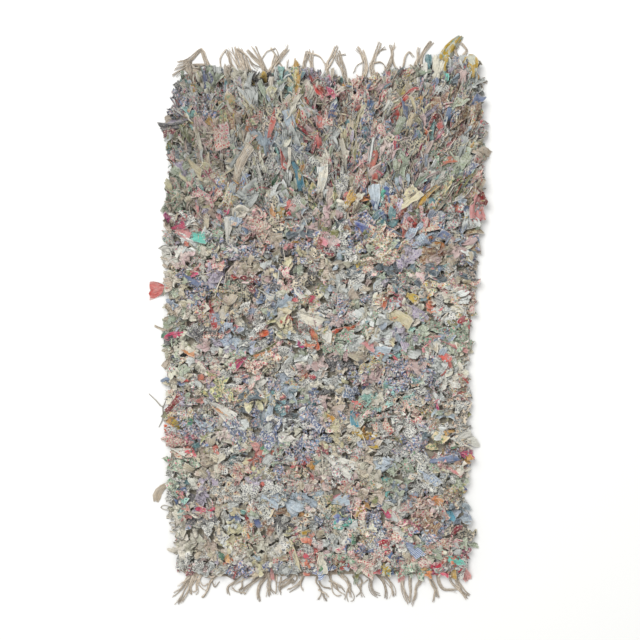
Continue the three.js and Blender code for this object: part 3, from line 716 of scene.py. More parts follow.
# Least height that a rag rises to, by how much it varies, what the nap adds, the share of it
# that is left at the rim, and how far in the rim reaches.
CREST = 12
CREST_MORE = 18
NAP_CREST_MORE = 6
RIM_CREST = 0.55
INNER_CREST = 0.45
RIM_DEPTH = 40
# Longest spare end past the reach, share of rags with a tucked tip, the steps of a puff that
# are tucked, and how much a rag bends at each step.
SPARE_END = 6
TUCKED = 0.3
PUFF_TUCK = 2
BEND = 0.09


def finish_plan(rng, rags):
    """Adds what draping needs: how steeply a rag rises, how it bends, and how it ends."""
    count = len(rags["x"])
    kind = rags["kind"]
    rags["root"] = np.full(count, ROOT_HEIGHT)
    rags["rise"] = np.radians(spread(rng, *RISE, count) - NAP_RISE_LESS * rags["lean"])
    inner = smooth(0, RIM_DEPTH, inside_distance(rags["x"], rags["y"]))
    crest = spread(rng, CREST, CREST_MORE + NAP_CREST_MORE * rags["lean"])
    rags["low"] = crest * (RIM_CREST + INNER_CREST * inner)
    rags["spare"] = spread(rng, 0, SPARE_END, count)
    rags["half"] = rags["width"] * np.choose(kind, RESTING_SHARES)
    rags["lift"] = np.full(count, LIFT)
    rags["top"] = PILE_TOP - NAP_ROOM * rags["lean"]
    ends = np.where(rng.random(count) < TUCKED, 1, 0)
    puffs = np.full(count, PUFF_TUCK)
    rags["tuck"] = np.choose(kind, [ends, puffs, ends, np.zeros(count, int)])
    rags["bend"] = rng.normal(0, BEND, count) * np.choose(kind, BEND_SHARES)


# Placed rags: their lift and top, when they are laid, and when those at the rim are, how far
# ahead of their near end that counts, their slope at the start, how much longer they are than
# the way to their tip, and the share of their width that rests on others. The outline doesn't
# stop them, and they have no root at the ground.
PLACED_LIFT = 5
PLACED_TOP = 39
PLACED_LATE = 0.965
RIM_LATE = 1.5
PLACED_AHEAD = 12
PLACED_RISE = 0.9
PLACED_STRETCH = 1.12
PLACED_LONGER = 16
PLACED_RESTING = 0.4
FREE_REACH = 400.0
NO_ROOT = -1.0
# Cloth width over the width that shows, for each kind of placed rag.
SLACK = {
    TUFT: 1.5, PUFF: 1.5, ROLLED: 2.4, FLAT: 1.2, PLEATED: 1.7, FAN: 1.3, LEAF: 1.15, FLAP: 1.3,
    PADDLE: 1.15,
}
# Width along a rag from its root to its cut end, for the kinds that aren't as wide throughout.
PROFILES = {
    FAN: (0.42, 0.45, 0.52, 0.62, 0.72, 0.82, 0.92, 1.0),
    LEAF: (0.5, 0.6, 0.75, 0.9, 1.0, 1.0, 0.88, 0.5),
    FLAP: (0.9, 1.0, 1.0, 1.0, 0.9, 0.7, 0.48, 0.3),
    PADDLE: (0.5, 0.5, 0.52, 0.62, 0.8, 0.97, 1.0, 0.62),
}


def plan_placed(rows, lifts, lates):
    """Placed rags start on top of the pile, so they have no stem to speak of. They are laid
    among the last rags, so that a few of those lie over them, and those at the rim later."""
    x, y, tip_x, tip_y, shown, bend = np.array([row[:6] for row in rows], float).T
    kind = np.array([KINDS.index(row[6]) for row in rows])
    span = np.hypot(tip_x - x, tip_y - y)
    turn = 4 * bend / span
    count = len(rows)
    return {
        "x": x, "y": y, "kind": kind, "lean": nap(y), "late": lates, "lift": lifts,
        "lowest": np.minimum(y, tip_y) - PLACED_AHEAD,
        "width": shown * np.array([SLACK[k] for k in kind]),
        "way": np.arctan2(tip_y - y, tip_x - x) + turn, "bend": -2 * turn / FLOP_STEPS,
        "long": span * PLACED_STRETCH + PLACED_LONGER, "reach": np.full(count, FREE_REACH),
        "root": np.full(count, NO_ROOT), "rise": np.full(count, PLACED_RISE),
        "low": np.zeros(count), "top": np.full(count, PLACED_TOP), "spare": np.zeros(count),
        "half": shown * PLACED_RESTING, "tuck": np.zeros(count, int),
    }


# The surface is a grid of square cells around the rug. Before any rag is laid, it has the
# height of the stubble of knots: its height at the rim, how much it gains from the outline in,
# the ridges of the rows, where those begin, and how far out the stubble and the ends reach.
CELL = 4
GRID_X = 620
GRID_Y = 960
RIM_STUBBLE = 5
STUBBLE_GAIN = 11
STUBBLE_FROM_TO = (-4, 34)
ROW_RIDGE = 1.6
RIDGE_FROM_TO = (10, 40)
STUBBLE_OUT = 6
ENDS_IN = 20


def base_heights():
    """Support that the stems of the knots give, on the grid of cells."""
    x = np.arange(-GRID_X, GRID_X, CELL)
    y = np.arange(-GRID_Y, GRID_Y, CELL)
    grid_x, grid_y = np.meshgrid(x, y, indexing="ij")
    inside = inside_distance(grid_x, grid_y)
    ridge = ROW_RIDGE * np.cos(2 * np.pi * (grid_y - near_edge(0)) / ROW_PITCH)
    pile = RIM_STUBBLE + STUBBLE_GAIN * smooth(*STUBBLE_FROM_TO, inside)
    pile = pile + ridge * smooth(*RIDGE_FROM_TO, inside)
    at_near = grid_y < near_edge(grid_x, 2) + ENDS_IN
    at_far = grid_y > far_edge(grid_x, 2) - ENDS_IN
    ends = np.where(at_near | at_far, HEADING_HEIGHT, 0.0)
    return np.where(inside > -STUBBLE_OUT, pile, ends)


class Surface:
    """Height of the pile so far, and which rag is on top, cell by cell."""

    def __init__(self, heights):
        self.wide = heights.shape[1]
        self.height = heights.ravel().tolist()
        self.owner = [-1] * len(self.height)

    def cell(self, x, y):
        return int((x + GRID_X) / CELL) * self.wide + int((y + GRID_Y) / CELL)

    def grid(self):
        return np.array(self.height).reshape(-1, self.wide)


def cells_below(points):
    """Numbers of the cells that points lie over, across and along."""
    across = ((points[..., 0] + GRID_X) / CELL).astype(int)
    along = ((points[..., 1] + GRID_Y) / CELL).astype(int)
    return across, along


# Draping: where the support of the stem is felt, how far below its crest a placed rag starts
# and how low it may, the shortest stem and step, how far ahead of a step the support is felt
# and where across, the steepest steps, and the lowest that a rag lies.
STEM_AHEAD = 9
PLACED_DROP = 11
PLACED_LOWEST = 4
SHORTEST_STEM = 2
SHORTEST_STEP = 2.2
AHEAD = 0.9
ACROSS = (-1, -0.5, 0, 0.5, 1)
STEEPEST_DOWN = 0.78
STEEPEST_UP = 0.8
LOWEST = 3.0


def drape(surface, rag, number, wobble, ripple):
    """Lays one rag on the surface, and returns the points of its middle line and its ways."""
    x, y, way, rise = rag["x"], rag["y"], rag["way"], rag["rise"]
    height, cell, owner = surface.height, surface.cell, surface.owner
    cos, sin = math.cos(way), math.sin(way)
    support = height[cell(x + STEM_AHEAD * cos, y + STEM_AHEAD * sin)]
    crest = min(max(support + rag["lift"], rag["low"]), rag["top"])
    z = rag["root"] if rag["root"] > 0 else max(crest - PLACED_DROP, PLACED_LOWEST)
    stem = max(crest - z, SHORTEST_STEM) / math.sin(rise)
    points = [(x, y, z)]
    x += stem * math.cos(rise) * cos
    y += stem * math.cos(rise) * sin
    z += stem * math.sin(rise)
    points.append((x, y, z))
    ways = [way, way]

    step = min(rag["long"] - stem, rag["reach"] + rag["spare"]) / FLOP_STEPS
    step = max(step, SHORTEST_STEP)
    sides = [share * rag["half"] for share in ACROSS]
    for j in range(FLOP_STEPS):
        way += rag["bend"] + wobble[j]
        cos, sin = math.cos(way), math.sin(way)
        ahead_x, ahead_y = x + step * AHEAD * cos, y + step * AHEAD * sin
        across = [height[cell(ahead_x + side * sin, ahead_y - side * cos)] for side in sides]
        support = 0.5 * (max(across) + sum(across) / len(across))
        goal = min(support + rag["lift"], rag["top"]) + ripple[j]
        if j >= FLOP_STEPS - rag["tuck"]:
            goal = z - step
        change = min(max(goal - z, -STEEPEST_DOWN * step), STEEPEST_UP * step)
        along = math.sqrt(step * step - change * change)
        x += along * cos
        y += along * sin
        z = max(z + change, LOWEST)
        points.append((x, y, z))
        ways.append(way)
        top = z + 0.5 * LIFT
        for side in sides:
            spot = cell(x + side * sin, y - side * cos)
            if top > height[spot]:
                height[spot] = top
                owner[spot] = number
    return points, ways


# How much a rag wobbles and how high it ripples at each step: less for one that is placed, and
# more in the nap.
WOBBLE = 0.16
PLACED_WOBBLE = 0.3
RIPPLE = 1
NAP_RIPPLE_MORE = 0.7
DRAPED_BY = (
    "x", "y", "way", "root", "rise", "low", "long", "reach", "spare", "half", "tuck", "bend",
    "lift", "top",
)


def drape_all(rng, rags, surface, order):
    count = len(rags["x"])
    points = np.zeros((count, STEPS + 1, 3))
    ways = np.zeros((count, STEPS + 1))
    loose = np.where(rags["root"] > 0, 1.0, PLACED_WOBBLE)[:, None]
    wobble = (rng.normal(0, WOBBLE, (count, FLOP_STEPS)) * loose).tolist()
    rough = 1 + NAP_RIPPLE_MORE * rags["lean"][:, None]
    ripple = (rng.normal(0, RIPPLE, (count, FLOP_STEPS)) * rough).tolist()
    columns = {name: rags[name].tolist() for name in DRAPED_BY}
    for i in order:
        rag = {name: column[i] for name, column in columns.items()}
        points[i], ways[i] = drape(surface, rag, i, wobble[i], ripple[i])
    return points, ways


# Degrees that the folds of a rag lean: at its root, and at its tip for each kind. The steps
# from which and to which it opens.
ROOT_FOLD = 76
TIP_FOLDS = (
    (36, 62), (38, 62), (6, 24), (14, 36), (48, 58), (24, 42), (10, 24), (22, 36), (10, 20),
)
OPENS_FROM_TO = (1, 5.5)
# Degrees that the rims of a rag curl, at random either way or, for rolled strips, all one way,
# and the share of the curl at the root.
TUFT_CURL = 42
PUFF_CURL = 50
ROLLED_CURLS = (170, 330)
OTHER_CURL = 22
ROOT_CURL = 0.35
# Unevenness of folds: the share that lean the other way, their least and most lean and width,
# and how much their lean wanders.
ODD_FOLDS = 0.14
FOLD_LEANS = (0.45, 1.35)
FOLD_WANDER = 0.22
FOLD_WIDTHS = (0.75, 1.25)
# Highest fold above the middle line, what the nap adds, the roll of a rag about its middle line
# at each step, and how rough its cloth is.
HIGHEST_FOLD = 3.3
NAP_FOLD_MORE = 3.2
ROLL = 0.13
CRUMPLE = 0.55
# Cut ends: how much they slant, are notched and are uneven, and how long they get.
END_SLANT = 0.35
END_NOTCH = 3
END_UNEVEN = 1.6
LONGEST_END = 9
LOWEST_CLOTH = 1.5


def fold_angles(rng, kind, open_share):
    """Angle of each fold of each rag at each step, to the rag's own level."""
    column = kind.shape
    folds = (len(kind), FOLDS)
    tip_fold = np.radians(np.choose(kind, [spread(rng, *limits, column) for limits in TIP_FOLDS]))
    root_fold = np.radians(ROOT_FOLD)
    fold = root_fold + (tip_fold - root_fold) * open_share
    curls = [
        rng.normal(0, TUFT_CURL, column),
        rng.normal(0, PUFF_CURL, column),
        spread(rng, *ROLLED_CURLS, column),
    ]
    curls += [rng.normal(0, OTHER_CURL, column) for _ in KINDS[FLAT:]]
    curl = np.radians(np.choose(kind, curls)) * (ROOT_CURL + (1 - ROOT_CURL) * open_share)

    sign = np.where(np.arange(FOLDS) % 2 == 0, 1, -1)[None, :]
    sign = sign * np.where(rng.random(column) < 0.5, 1, -1)
    sign = np.where(rng.random(folds) < ODD_FOLDS, -sign, sign)
    size = spread(rng, *FOLD_LEANS, folds)
    wander = rng.normal(0, FOLD_WANDER, (len(kind), STEPS + 1, FOLDS))
    share = (np.arange(FOLDS) + 0.5) / FOLDS - 0.5
    angle = sign[:, None, :] * fold[:, :, None] * (size[:, None, :] + wander)
    return angle + curl[:, :, None] * share


def unit(vectors):
    return vectors / np.linalg.norm(vectors, axis=2, keepdims=True)


def cut_ends(rng, side):
    """How far the points of each rag move along it, so that its end slants and is notched."""
    column = (len(side), 1)
    middle = 1 - np.abs(2 * (np.arange(FOLDS + 1)[None, :] / FOLDS - 0.5))
    slant = rng.normal(0, END_SLANT, column) * side[:, -1, :]
    notch = -np.maximum(rng.normal(0, END_NOTCH, column), 0) * middle
    uneven = rng.normal(0, END_UNEVEN, (len(side), FOLDS + 1))
    along = np.zeros_like(side)
    along[:, -1, :] = np.clip(slant + notch + uneven, -LONGEST_END, LONGEST_END)
    along[:, -2, :] = 0.5 * along[:, -1, :]
    return along


def fold_across(rng, rags, points, ways):
    """Turns middle lines into pleated strips of cloth: one point a fold and step."""
    count = len(rags["x"])
    open_share = smooth(*OPENS_FROM_TO, np.arange(STEPS + 1))[None, :]
    angle = fold_angles(rng, rags["kind"][:, None], open_share)
    stretch = spread(rng, *FOLD_WIDTHS, (count, 1, FOLDS))
    profile = np.ones((count, STEPS + 1))
    for shaped, widths in PROFILES.items():
        profile[rags["kind"] == shaped] = widths
    segment = (rags["width"][:, None] * profile)[:, :, None] / FOLDS * stretch
    side = np.zeros((count, STEPS + 1, FOLDS + 1))
    up = np.zeros_like(side)
    side[:, :, 1:] = np.cumsum(segment * np.cos(angle), 2)
    up[:, :, 1:] = np.cumsum(segment * np.sin(angle), 2)
    side -= side.mean(2, keepdims=True)
    up -= up.mean(2, keepdims=True)
    highest = HIGHEST_FOLD + NAP_FOLD_MORE * rags["lean"][:, None, None]
    up = np.clip(up, -highest, highest)

    # Frames along each middle line.
    tangent = unit(np.gradient(points, axis=1))
    level = np.stack([np.sin(ways), -np.cos(ways), np.zeros_like(ways)], 2)
    normal = unit(np.cross(level, tangent))
    roll = np.cumsum(rng.normal(0, ROLL, (count, STEPS + 1)), 1) * open_share
    cos, sin = np.cos(roll)[:, :, None], np.sin(roll)[:, :, None]
    level, normal = level * cos + normal * sin, normal * cos - level * sin
    up = up + rng.normal(0, CRUMPLE, up.shape) * open_share[:, :, None]
    along = cut_ends(rng, side)
    cloth = (
        points[:, :, None, :]
        + side[..., None] * level[:, :, None, :]
        + up[..., None] * normal[:, :, None, :]
        + along[..., None] * tangent[:, :, None, :]
    )
    cloth[..., 2] = np.clip(cloth[..., 2], LOWEST_CLOTH, HIGHEST)
    return cloth


# Share of the runs of knots that go on with the fabric of the row before, how many knots a
# cloth is used for, common or rare, and the share below which it is rare.
CARRIED_ON = 0.35
LONG_RUN = 8
SHORT_RUN = 3
RARE_SHARE = 1.7
# Lone narrow ends of strong colour: their share in the low part and in the nap.
LONE_LOW = 0.03
LONE_NAP = 0.2
LONE_WIDTH = 0.6
STRONG = (
    "rose", "coral", "crimson", "maroon_print", "cornflower", "teal", "mustard", "brown_spot",
    "navy_floral", "sage", "lilac", "olive", "pale_blue", "scarlet", "butter", "aqua",
)


def away_from(x, y, place_x, place_y, reach_x, reach_y):
    """Squared distance from a place, taking its reach each way as one."""
    return ((x - place_x) / reach_x) ** 2 + ((y - place_y) / reach_y) ** 2


def shading(x, y):
    """Change of tone at a place."""
    change = np.zeros(len(x))
    for *stretch, amount in SHADED:
        change += amount * np.exp(-away_from(x, y, *stretch))
    return change


def fabric_number(name):
    return FABRIC_NAMES.index(name)


def choose_fabrics(rng, rags):
    """Rows of knots use up one torn garment after another, so neighbours share a fabric and a
    shade. Gives both for each rag."""
    shares = np.array([row[2] for row in FABRICS], float)
    rare = shares < RARE_SHARE
    weights = shares / np.where(rare, SHORT_RUN, LONG_RUN)
    weights /= weights.sum()
    last_knot = rags["knot"].max()
    cloth = np.zeros((rags["row"].max() + 1, last_knot + 1), int)
    shade = np.zeros(cloth.shape)
    for number in range(len(cloth)):
        knot = 0
        while knot <= last_knot:
            end = knot + int(rng.integers(1, LONG_RUN))
            above = cloth[number - 1, knot]
            if number and rng.random() < CARRIED_ON and not rare[above]:
                cloth[number, knot:end] = cloth[number - 1, knot:end]
                shade[number, knot:end] = shade[number - 1, knot:end]
            else:
                pick = rng.choice(len(shares), p=weights)
                if rare[pick]:
                    end = knot + int(rng.integers(1, SHORT_RUN))
                cloth[number, knot:end] = pick
                shade[number, knot:end] = rng.random()
            knot = end
    fabric = cloth[rags["row"], rags["knot"]]
    shade = shade[rags["row"], rags["knot"]]
    for *stretch, name, share in ZONES:
        near = away_from(rags["x"], rags["y"], *stretch) < 1
        taken = near & (rng.random(len(fabric)) < share)
        fabric = np.where(taken, fabric_number(name), fabric)

    # Single narrow ends of strong colour.
    lone = rng.random(len(fabric)) < LONE_LOW + (LONE_NAP - LONE_LOW) * rags["lean"]
    strong = rng.choice([fabric_number(name) for name in STRONG], len(fabric))
    rags["width"] = np.where(lone, rags["width"] * LONE_WIDTH, rags["width"])
    return np.where(lone, strong, fabric), shade


def place_accents(surface, fabric):
    """Changes the fabric of whatever rag of the pile came out on top at each accent."""
    for name, places in ACCENTS.items():
        for place in places:
            owner = surface.owner[surface.cell(*place)]
            if 0 <= owner < len(fabric):
                fabric[owner] = fabric_number(name)


# Walking presses the low part of the pile towards its mean height within a reach of cells.
PRESS_REACH = 4
PRESSED = 0.36
BELOW_MEAN = 2


def press(surface, points):
    """Flattens the low part of the pile, which has been walked on, and leaves the nap."""
    top = surface.grid()
    level = top
    width = 2 * PRESS_REACH + 1
    for axis in (0, 1, 0, 1):
        margins = [(0, 0), (0, 0)]
        margins[axis] = (PRESS_REACH + 1, PRESS_REACH)
        padded = np.cumsum(np.pad(level, margins, "edge"), axis)
        ends = np.take(padded, range(width, padded.shape[axis]), axis)
        starts = np.take(padded, range(padded.shape[axis] - width), axis)
        level = (ends - starts) / width
    level = np.maximum(level - BELOW_MEAN, 0)
    kept = PRESSED + (1 - PRESSED) * nap(np.arange(-GRID_Y, GRID_Y, CELL))
    surface.height = (level + (top - level) * kept).ravel().tolist()
    across, along = cells_below(points)
    level = level[across, along]
    points[..., 2] = level + (points[..., 2] - level) * kept[along]


# Down to this depth, cloth counts as the top of the pile.
TOP_LAYER = 2


# The depth brings painted shade, with some grime, to cloth that lies deep in the pile.
def depth_below(surface, cloth):
    """How far each point lies below the top of the pile there, as a share of its height."""
    top = surface.grid()[cells_below(cloth)]
    return np.clip((top - cloth[..., 2] - TOP_LAYER) / HIGHEST, 0, 1)


# Tones run from 0, dark, to 1, pale. A placed rag has its own tone. One of the pile shares the
# shade of its cloth, and in the nap it gets painted shade: a darker tone, and more of the grime
# and shade colour, the most at its left.
PLACED_TONE = 0.4
PLACED_TONE_MORE = 0.5
PILE_TONE = 0.1
CLOTH_TONE_MORE = 0.68
OWN_TONE_MORE = 0.46
NAP_DARKER = 0.24
NAP_SHADE = 0.08
NAP_SHADE_ACROSS = 0.06
PLACED_HUE = 0.4
PLACED_HUE_MORE = 0.2
# A rag is made if it is on top in this many cells and ends no further out than this.
CELLS_TO_SHOW = 2
STRAY = 17
# Order of laying: by lot, and in the nap from the far end on, which lies under what is nearer.
LATE_SHARE = 4
NAP_LAYER = 20
# Seeds of the random numbers of each kind of piece.
PILE_SEED = 4
CLOTH_SEED = 9
GROUND_SEED = 17
THREAD_SEED = 23
FRINGE_SEED = 30


def rag_looks(rng, rags, shade):
    """Tone and hue of each rag, first those of the pile and then the placed ones."""
    count = len(shade)
    own = rng.random(len(rags["x"]))
    tone = PLACED_TONE + PLACED_TONE_MORE * own
    # Painted shade in the nap, as a darker tone.
    darker = NAP_DARKER * rags["lean"][:count]
    tone[:count] = CLOTH_TONE_MORE * shade + OWN_TONE_MORE * own[:count] + PILE_TONE - darker
    tone += shading(rags["x"], rags["y"])
    hue = rng.random(len(own))
    hue[count:] = PLACED_HUE + PLACED_HUE_MORE * hue[count:]
    return tone, hue


def build_rags():
    """All rags that can be seen: their sizes, fabrics and points."""
    rng = np.random.default_rng(PILE_SEED)
    pile = plan_pile(rng)
    turn_in_at_rim(rng, pile)
    fabric, shade = choose_fabrics(rng, pile)
    finish_plan(rng, pile)
    rows = RIM_RAGS + TOP_RAGS
    numbers = [len(RIM_RAGS), len(TOP_RAGS)]
    lifts = np.repeat([LIFT, PLACED_LIFT], numbers)
    placed = plan_placed(rows, lifts, np.repeat([RIM_LATE, PLACED_LATE], numbers))
    rags = {name: np.concatenate([pile[name], placed[name]]) for name in placed}

    surface = Surface(base_heights())
    order = np.argsort(LATE_SHARE * rags["late"] - nap(rags["lowest"]) * rags["lowest"] / NAP_LAYER)
    points, ways = drape_all(rng, rags, surface, order)
    place_accents(surface, fabric)
    press(surface, points)
    cloth = fold_across(rng, rags, points, ways)

    fabric = np.concatenate([fabric, [fabric_number(row[7]) for row in rows]])
    tone, hue = rag_looks(rng, rags, shade)
    # More painted shade in the nap, the most at its left, added to the depth's painted shade and grime.
    nap_shade = rags["lean"] * (NAP_SHADE - NAP_SHADE_ACROSS * rags["x"] / HALF_WIDTH)
    sizes = {
        "width": rags["width"], "long": rags["long"], "tone": tone, "hue": hue,
        "depth": depth_below(surface, cloth) + nap_shade[:, None, None],
    }
    owner = np.array(surface.owner)
    cells_owned = np.bincount(owner[owner >= 0], minlength=len(cloth))
    stray = inside_distance(cloth[:, -1, 0, 0], cloth[:, -1, 0, 1]) < -STRAY
    stray[len(shade):] = False
    seen = np.flatnonzero((cells_owned >= CELLS_TO_SHOW) & ~stray)
    sizes = {name: values[seen] for name, values in sizes.items()}
    return sizes, fabric[seen], cloth[seen], surface


# Meshes. Each rag is cut from its own part of a cloth, which is this many metres wide.
CLOTH_REACH = 3
RAG_TILE_ASPECT = 2.0


def grid_faces(rows, columns):
    """Quads of a grid of points, as corner numbers."""
    a = np.arange(rows - 1)[:, None] * columns + np.arange(columns - 1)[None, :]
    a = a.ravel()
    return np.stack([a, a + 1, a + columns + 1, a + columns], 1)


def grid_places(rows, columns, start=0.0):
    """Places of a grid's points in a map from 0 to 1, row by row."""
    along, across = np.meshgrid(
        np.linspace(start, 1, rows), np.linspace(0, 1, columns), indexing="ij"
    )
    return np.stack([across.ravel(), along.ravel()], 1)


# Margin around a tile of the map that textures are baked into.
TILE_MARGIN = 0.03


def atlas(count, local, aspect=1.0):
    """Gives each of many like things its own tile of a map. Local runs from 0 to 1 in a tile."""
    columns = max(1, math.ceil(math.sqrt(count * aspect)))
    rows = math.ceil(count / columns)
    tile = np.arange(count)
    corner = np.stack([tile % columns, tile // columns], 1)
    corner = corner.reshape((count,) + (1,) * (local.ndim - 2) + (2,))
    inner = 1 - 2 * TILE_MARGIN
    return (corner + TILE_MARGIN + inner * local) / np.array([columns, rows])


def make_mesh(name, points, faces, maps, numbers, materials, node, used=None):
    """A piece of the rug from points in millimetres. Maps have one row a corner of a face, and
    numbers one a point. Used says which of the materials each face has."""
    mesh = bpy.data.meshes.new(name)
    mesh.vertices.add(len(points))
    mesh.vertices.foreach_set("co", (points * MM).astype(np.float32).ravel())
    mesh.loops.add(faces.size)
    mesh.loops.foreach_set("vertex_index", faces.astype(np.int32).ravel())
    mesh.polygons.add(len(faces))
    starts = np.arange(len(faces), dtype=np.int32) * faces.shape[1]
    mesh.polygons.foreach_set("loop_start", starts)
    mesh.polygons.foreach_set("use_smooth", np.ones(len(faces), bool))
    for material in materials:
        mesh.materials.append(material)
    if used is not None:
        mesh.polygons.foreach_set("material_index", used.astype(np.int32))
    mesh.update(calc_edges=True)
    for map_name, spots in maps.items():
        layer = mesh.uv_layers.new(name=map_name)
        layer.uv.foreach_set("vector", spots.astype(np.float32).ravel())
    for number_name, values in numbers.items():
        attribute = mesh.attributes.new(number_name, "FLOAT", "POINT")
        attribute.data.foreach_set("value", values.astype(np.float32).ravel())
    piece = bpy.data.objects.new(name, mesh)
    bpy.context.scene.collection.objects.link(piece)
    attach(piece, "root")
    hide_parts(node)
    return piece


def rag_pieces(sizes, fabric, cloth):
    """One piece for each family of fabrics."""
    rng = np.random.default_rng(CLOTH_SEED)
    faces = grid_faces(STEPS + 1, FOLDS + 1)
    local = grid_places(STEPS + 1, FOLDS + 1)
    per_rag = len(local)
    pieces = []
    for family in dict.fromkeys(row[1] for row in FABRICS):
        members = [k for k, row in enumerate(FABRICS) if row[1] == family]
        mine = np.flatnonzero(np.isin(fabric, members))
        count = len(mine)
        points = cloth[mine].reshape(-1, 3)
        corners = (faces[None] + per_rag * np.arange(count)[:, None, None]).reshape(-1, 4)
        size = np.stack([sizes["width"][mine], sizes["long"][mine]], 1)
        own_part = spread(rng, 0, CLOTH_REACH, (count, 1, 2))
        spots = local[None] * size[:, None, :] * MM + own_part
        tiles = atlas(count, np.repeat(local[None], count, 0), RAG_TILE_ASPECT)
        maps = {
            "cloth": spots.reshape(-1, 2)[corners],
            "OFBake": tiles.reshape(-1, 2)[corners],
        }
        edge = np.minimum(local[:, 0], 1 - local[:, 0])[None] * size[:, :1]
        end = (1 - local[:, 1])[None] * size[:, 1:]
        numbers = {
            "rag_tone": np.repeat(sizes["tone"][mine], per_rag),
            "rag_hue": np.repeat(sizes["hue"][mine], per_rag),
            "rag_grime_shade": sizes["depth"][mine],
            "rag_edge": np.minimum(edge, end),
        }
        used = np.repeat(np.searchsorted(members, fabric[mine]), len(faces))
        materials = [cloth_material(FABRICS[k][0], *FABRICS[k][3:]) for k in members]
        pieces.append(make_mesh(
            "rags_" + family, points, corners, maps, numbers, materials,
            "rag_pile", used,
        ))
    return pieces


# Tubes: the sides, the share of a tile's height that the wall takes, and the discs of the ends.
TUBE_SIDES = 6
WALL_SHARE = 0.92
DISC_REACH = (0.2, 0.03)
START_DISC = (0.25, 0.965)
END_DISC = (0.75, 0.965)
TUBE_TILE_ASPECT = 4.0


def tube_mesh(name, paths, radii, material, node, tone):
    """Many closed tubes of six sides in one piece, from paths of as many points each."""
    count, steps, _ = paths.shape
    tangent = unit(np.gradient(paths, axis=1))
    side = np.cross(tangent, [0.0, 0.0, 1.0])
    side /= np.maximum(np.linalg.norm(side, axis=2, keepdims=True), 1e-6)
    up = np.cross(side, tangent)
    angle = 2 * np.pi * np.arange(TUBE_SIDES) / TUBE_SIDES
    ring = (
        side[:, :, None, :] * np.cos(angle)[:, None] + up[:, :, None, :] * np.sin(angle)[:, None]
    )
    points = paths[:, :, None, :] + ring * radii[:, :, None, None]

    j, k = np.meshgrid(np.arange(steps - 1), np.arange(TUBE_SIDES), indexing="ij")
    j, k = j.ravel(), k.ravel()
    after = (k + 1) % TUBE_SIDES
    walls = np.stack([
        j * TUBE_SIDES + k, (j + 1) * TUBE_SIDES + k,
        (j + 1) * TUBE_SIDES + after, j * TUBE_SIDES + after,
    ], 1)
    last = (steps - 1) * TUBE_SIDES
    caps = np.array([
        (0, 1, 2, 3), (0, 3, 4, 5), (last + 3, last + 2, last + 1, last),
        (last + 5, last + 4, last + 3, last),
    ])
    faces = np.concatenate([walls, caps])
    wall_map = np.stack([
        np.stack([k, k, k + 1, k + 1], 1) / TUBE_SIDES,
        WALL_SHARE * np.stack([j, j + 1, j + 1, j], 1) / (steps - 1),
    ], 2)
    disc = np.stack([np.cos(angle), np.sin(angle)], 1) * DISC_REACH
    start_disc = disc + START_DISC
    end_disc = disc + END_DISC
    cap_map = np.stack([
        start_disc[[0, 1, 2, 3]], start_disc[[0, 3, 4, 5]],
        end_disc[[3, 2, 1, 0]], end_disc[[5, 4, 3, 0]],
    ])
    local = np.concatenate([wall_map, cap_map])
    per_tube = steps * TUBE_SIDES
    corners = faces[None] + per_tube * np.arange(count)[:, None, None]
    length = np.linalg.norm(np.diff(paths, axis=1), axis=2).sum(1)
    size = np.stack([2 * np.pi * radii.max(1), length], 1)[:, None, None, :] * MM
    maps = {
        "cloth": (local[None] * size + tone[:, None, None, None]).reshape(-1, 2),
        "OFBake": atlas(
            count, np.repeat(local[None], count, 0), TUBE_TILE_ASPECT
        ).reshape(-1, 2),
    }
    # How much each point faces up; the material paints shade where it faces sideways or down.
    numbers = {"yarn_tone": np.repeat(tone, per_tube), "yarn_top": ring[..., 2]}
    return make_mesh(
        name, points.reshape(-1, 3), corners.reshape(-1, 4), maps, numbers, [material], node
    )


# Map of a slab: its two faces side by side above a strip for the wall.
FACE_FROM = 0.06
WALL_TO = 0.04
FACE_WIDTH = 0.49
BOTTOM_FROM = 0.51
SLAB_TONE = 0.6


def slab_mesh(name, top, bottom, material, node, raised):
    """A closed sheet between two grids of points, one above the other."""
    rows, columns, _ = top.shape
    upper = grid_faces(rows, columns)
    lower = upper[:, ::-1] + rows * columns
    number = np.arange(rows * columns).reshape(rows, columns)
    rim = np.concatenate([
        number[0, :-1], number[:-1, -1], number[-1, :0:-1], number[:0:-1, 0],
    ])
    following = np.roll(rim, -1)
    below = rows * columns
    walls = np.stack([rim, rim + below, following + below, following], 1)
    points = np.concatenate([top.reshape(-1, 3), bottom.reshape(-1, 3)])

    top_map = grid_places(rows, columns, FACE_FROM)[upper] * [FACE_WIDTH, 1]
    bottom_map = (top_map + [BOTTOM_FROM, 0])[:, ::-1]
    k = np.arange(len(rim)) / len(rim)
    step = 1 / len(rim)
    corners = np.array([(0, WALL_TO), (0, 0), (step, 0), (step, WALL_TO)])
    wall_map = np.stack([k, np.zeros_like(k)], 1)[:, None] + corners
    faces = np.concatenate([upper, lower, walls])
    maps = {
        "cloth": (points[:, :2] * MM)[faces],
        "OFBake": np.concatenate([top_map, bottom_map, wall_map]),
    }
    numbers = {
        "yarn_tone": np.full(len(points), SLAB_TONE),
        "yarn_top": np.tile(np.ravel(raised), 2),
    }
    return make_mesh(name, points, faces, maps, numbers, [material], node)


# Fringes. The yarns of a strand start at three heights in turn, and are of uneven length and
# thickness. Each strand also has one thin wisp, which strays further.
YARN_STEPS = 14
YARN_RADIUS = 1.75
YARN_SIZES = (0.8, 1.2)
YARN_TAPER = (1.1, 0.6)
YARN_LIFTS = 3
SHORTEST_YARN = 0.86
WISP_THICKNESS = 0.4
WISP_SPREAD = 3
# Waves of a yarn sideways, as a share of the strand's width, and how far its tip parts.
SIDE_WAVE = 0.2
SIDE_WAVES = (0.7, 1.5)
TIP_PARTING = 4
# Waves of a yarn up and down, its clearance from the floor, and how much a higher one arches.
OVER_WAVE = 0.9
OVER_WAVES = (1, 1.8)
FLOOR_CLEARANCE = 0.6
ARCH = 1.1


def longer(route, length):
    """The point that lies a length beyond the last point of a route."""
    way = route[-1] - route[-2]
    return route[-1] + way / np.hypot(*way) * length


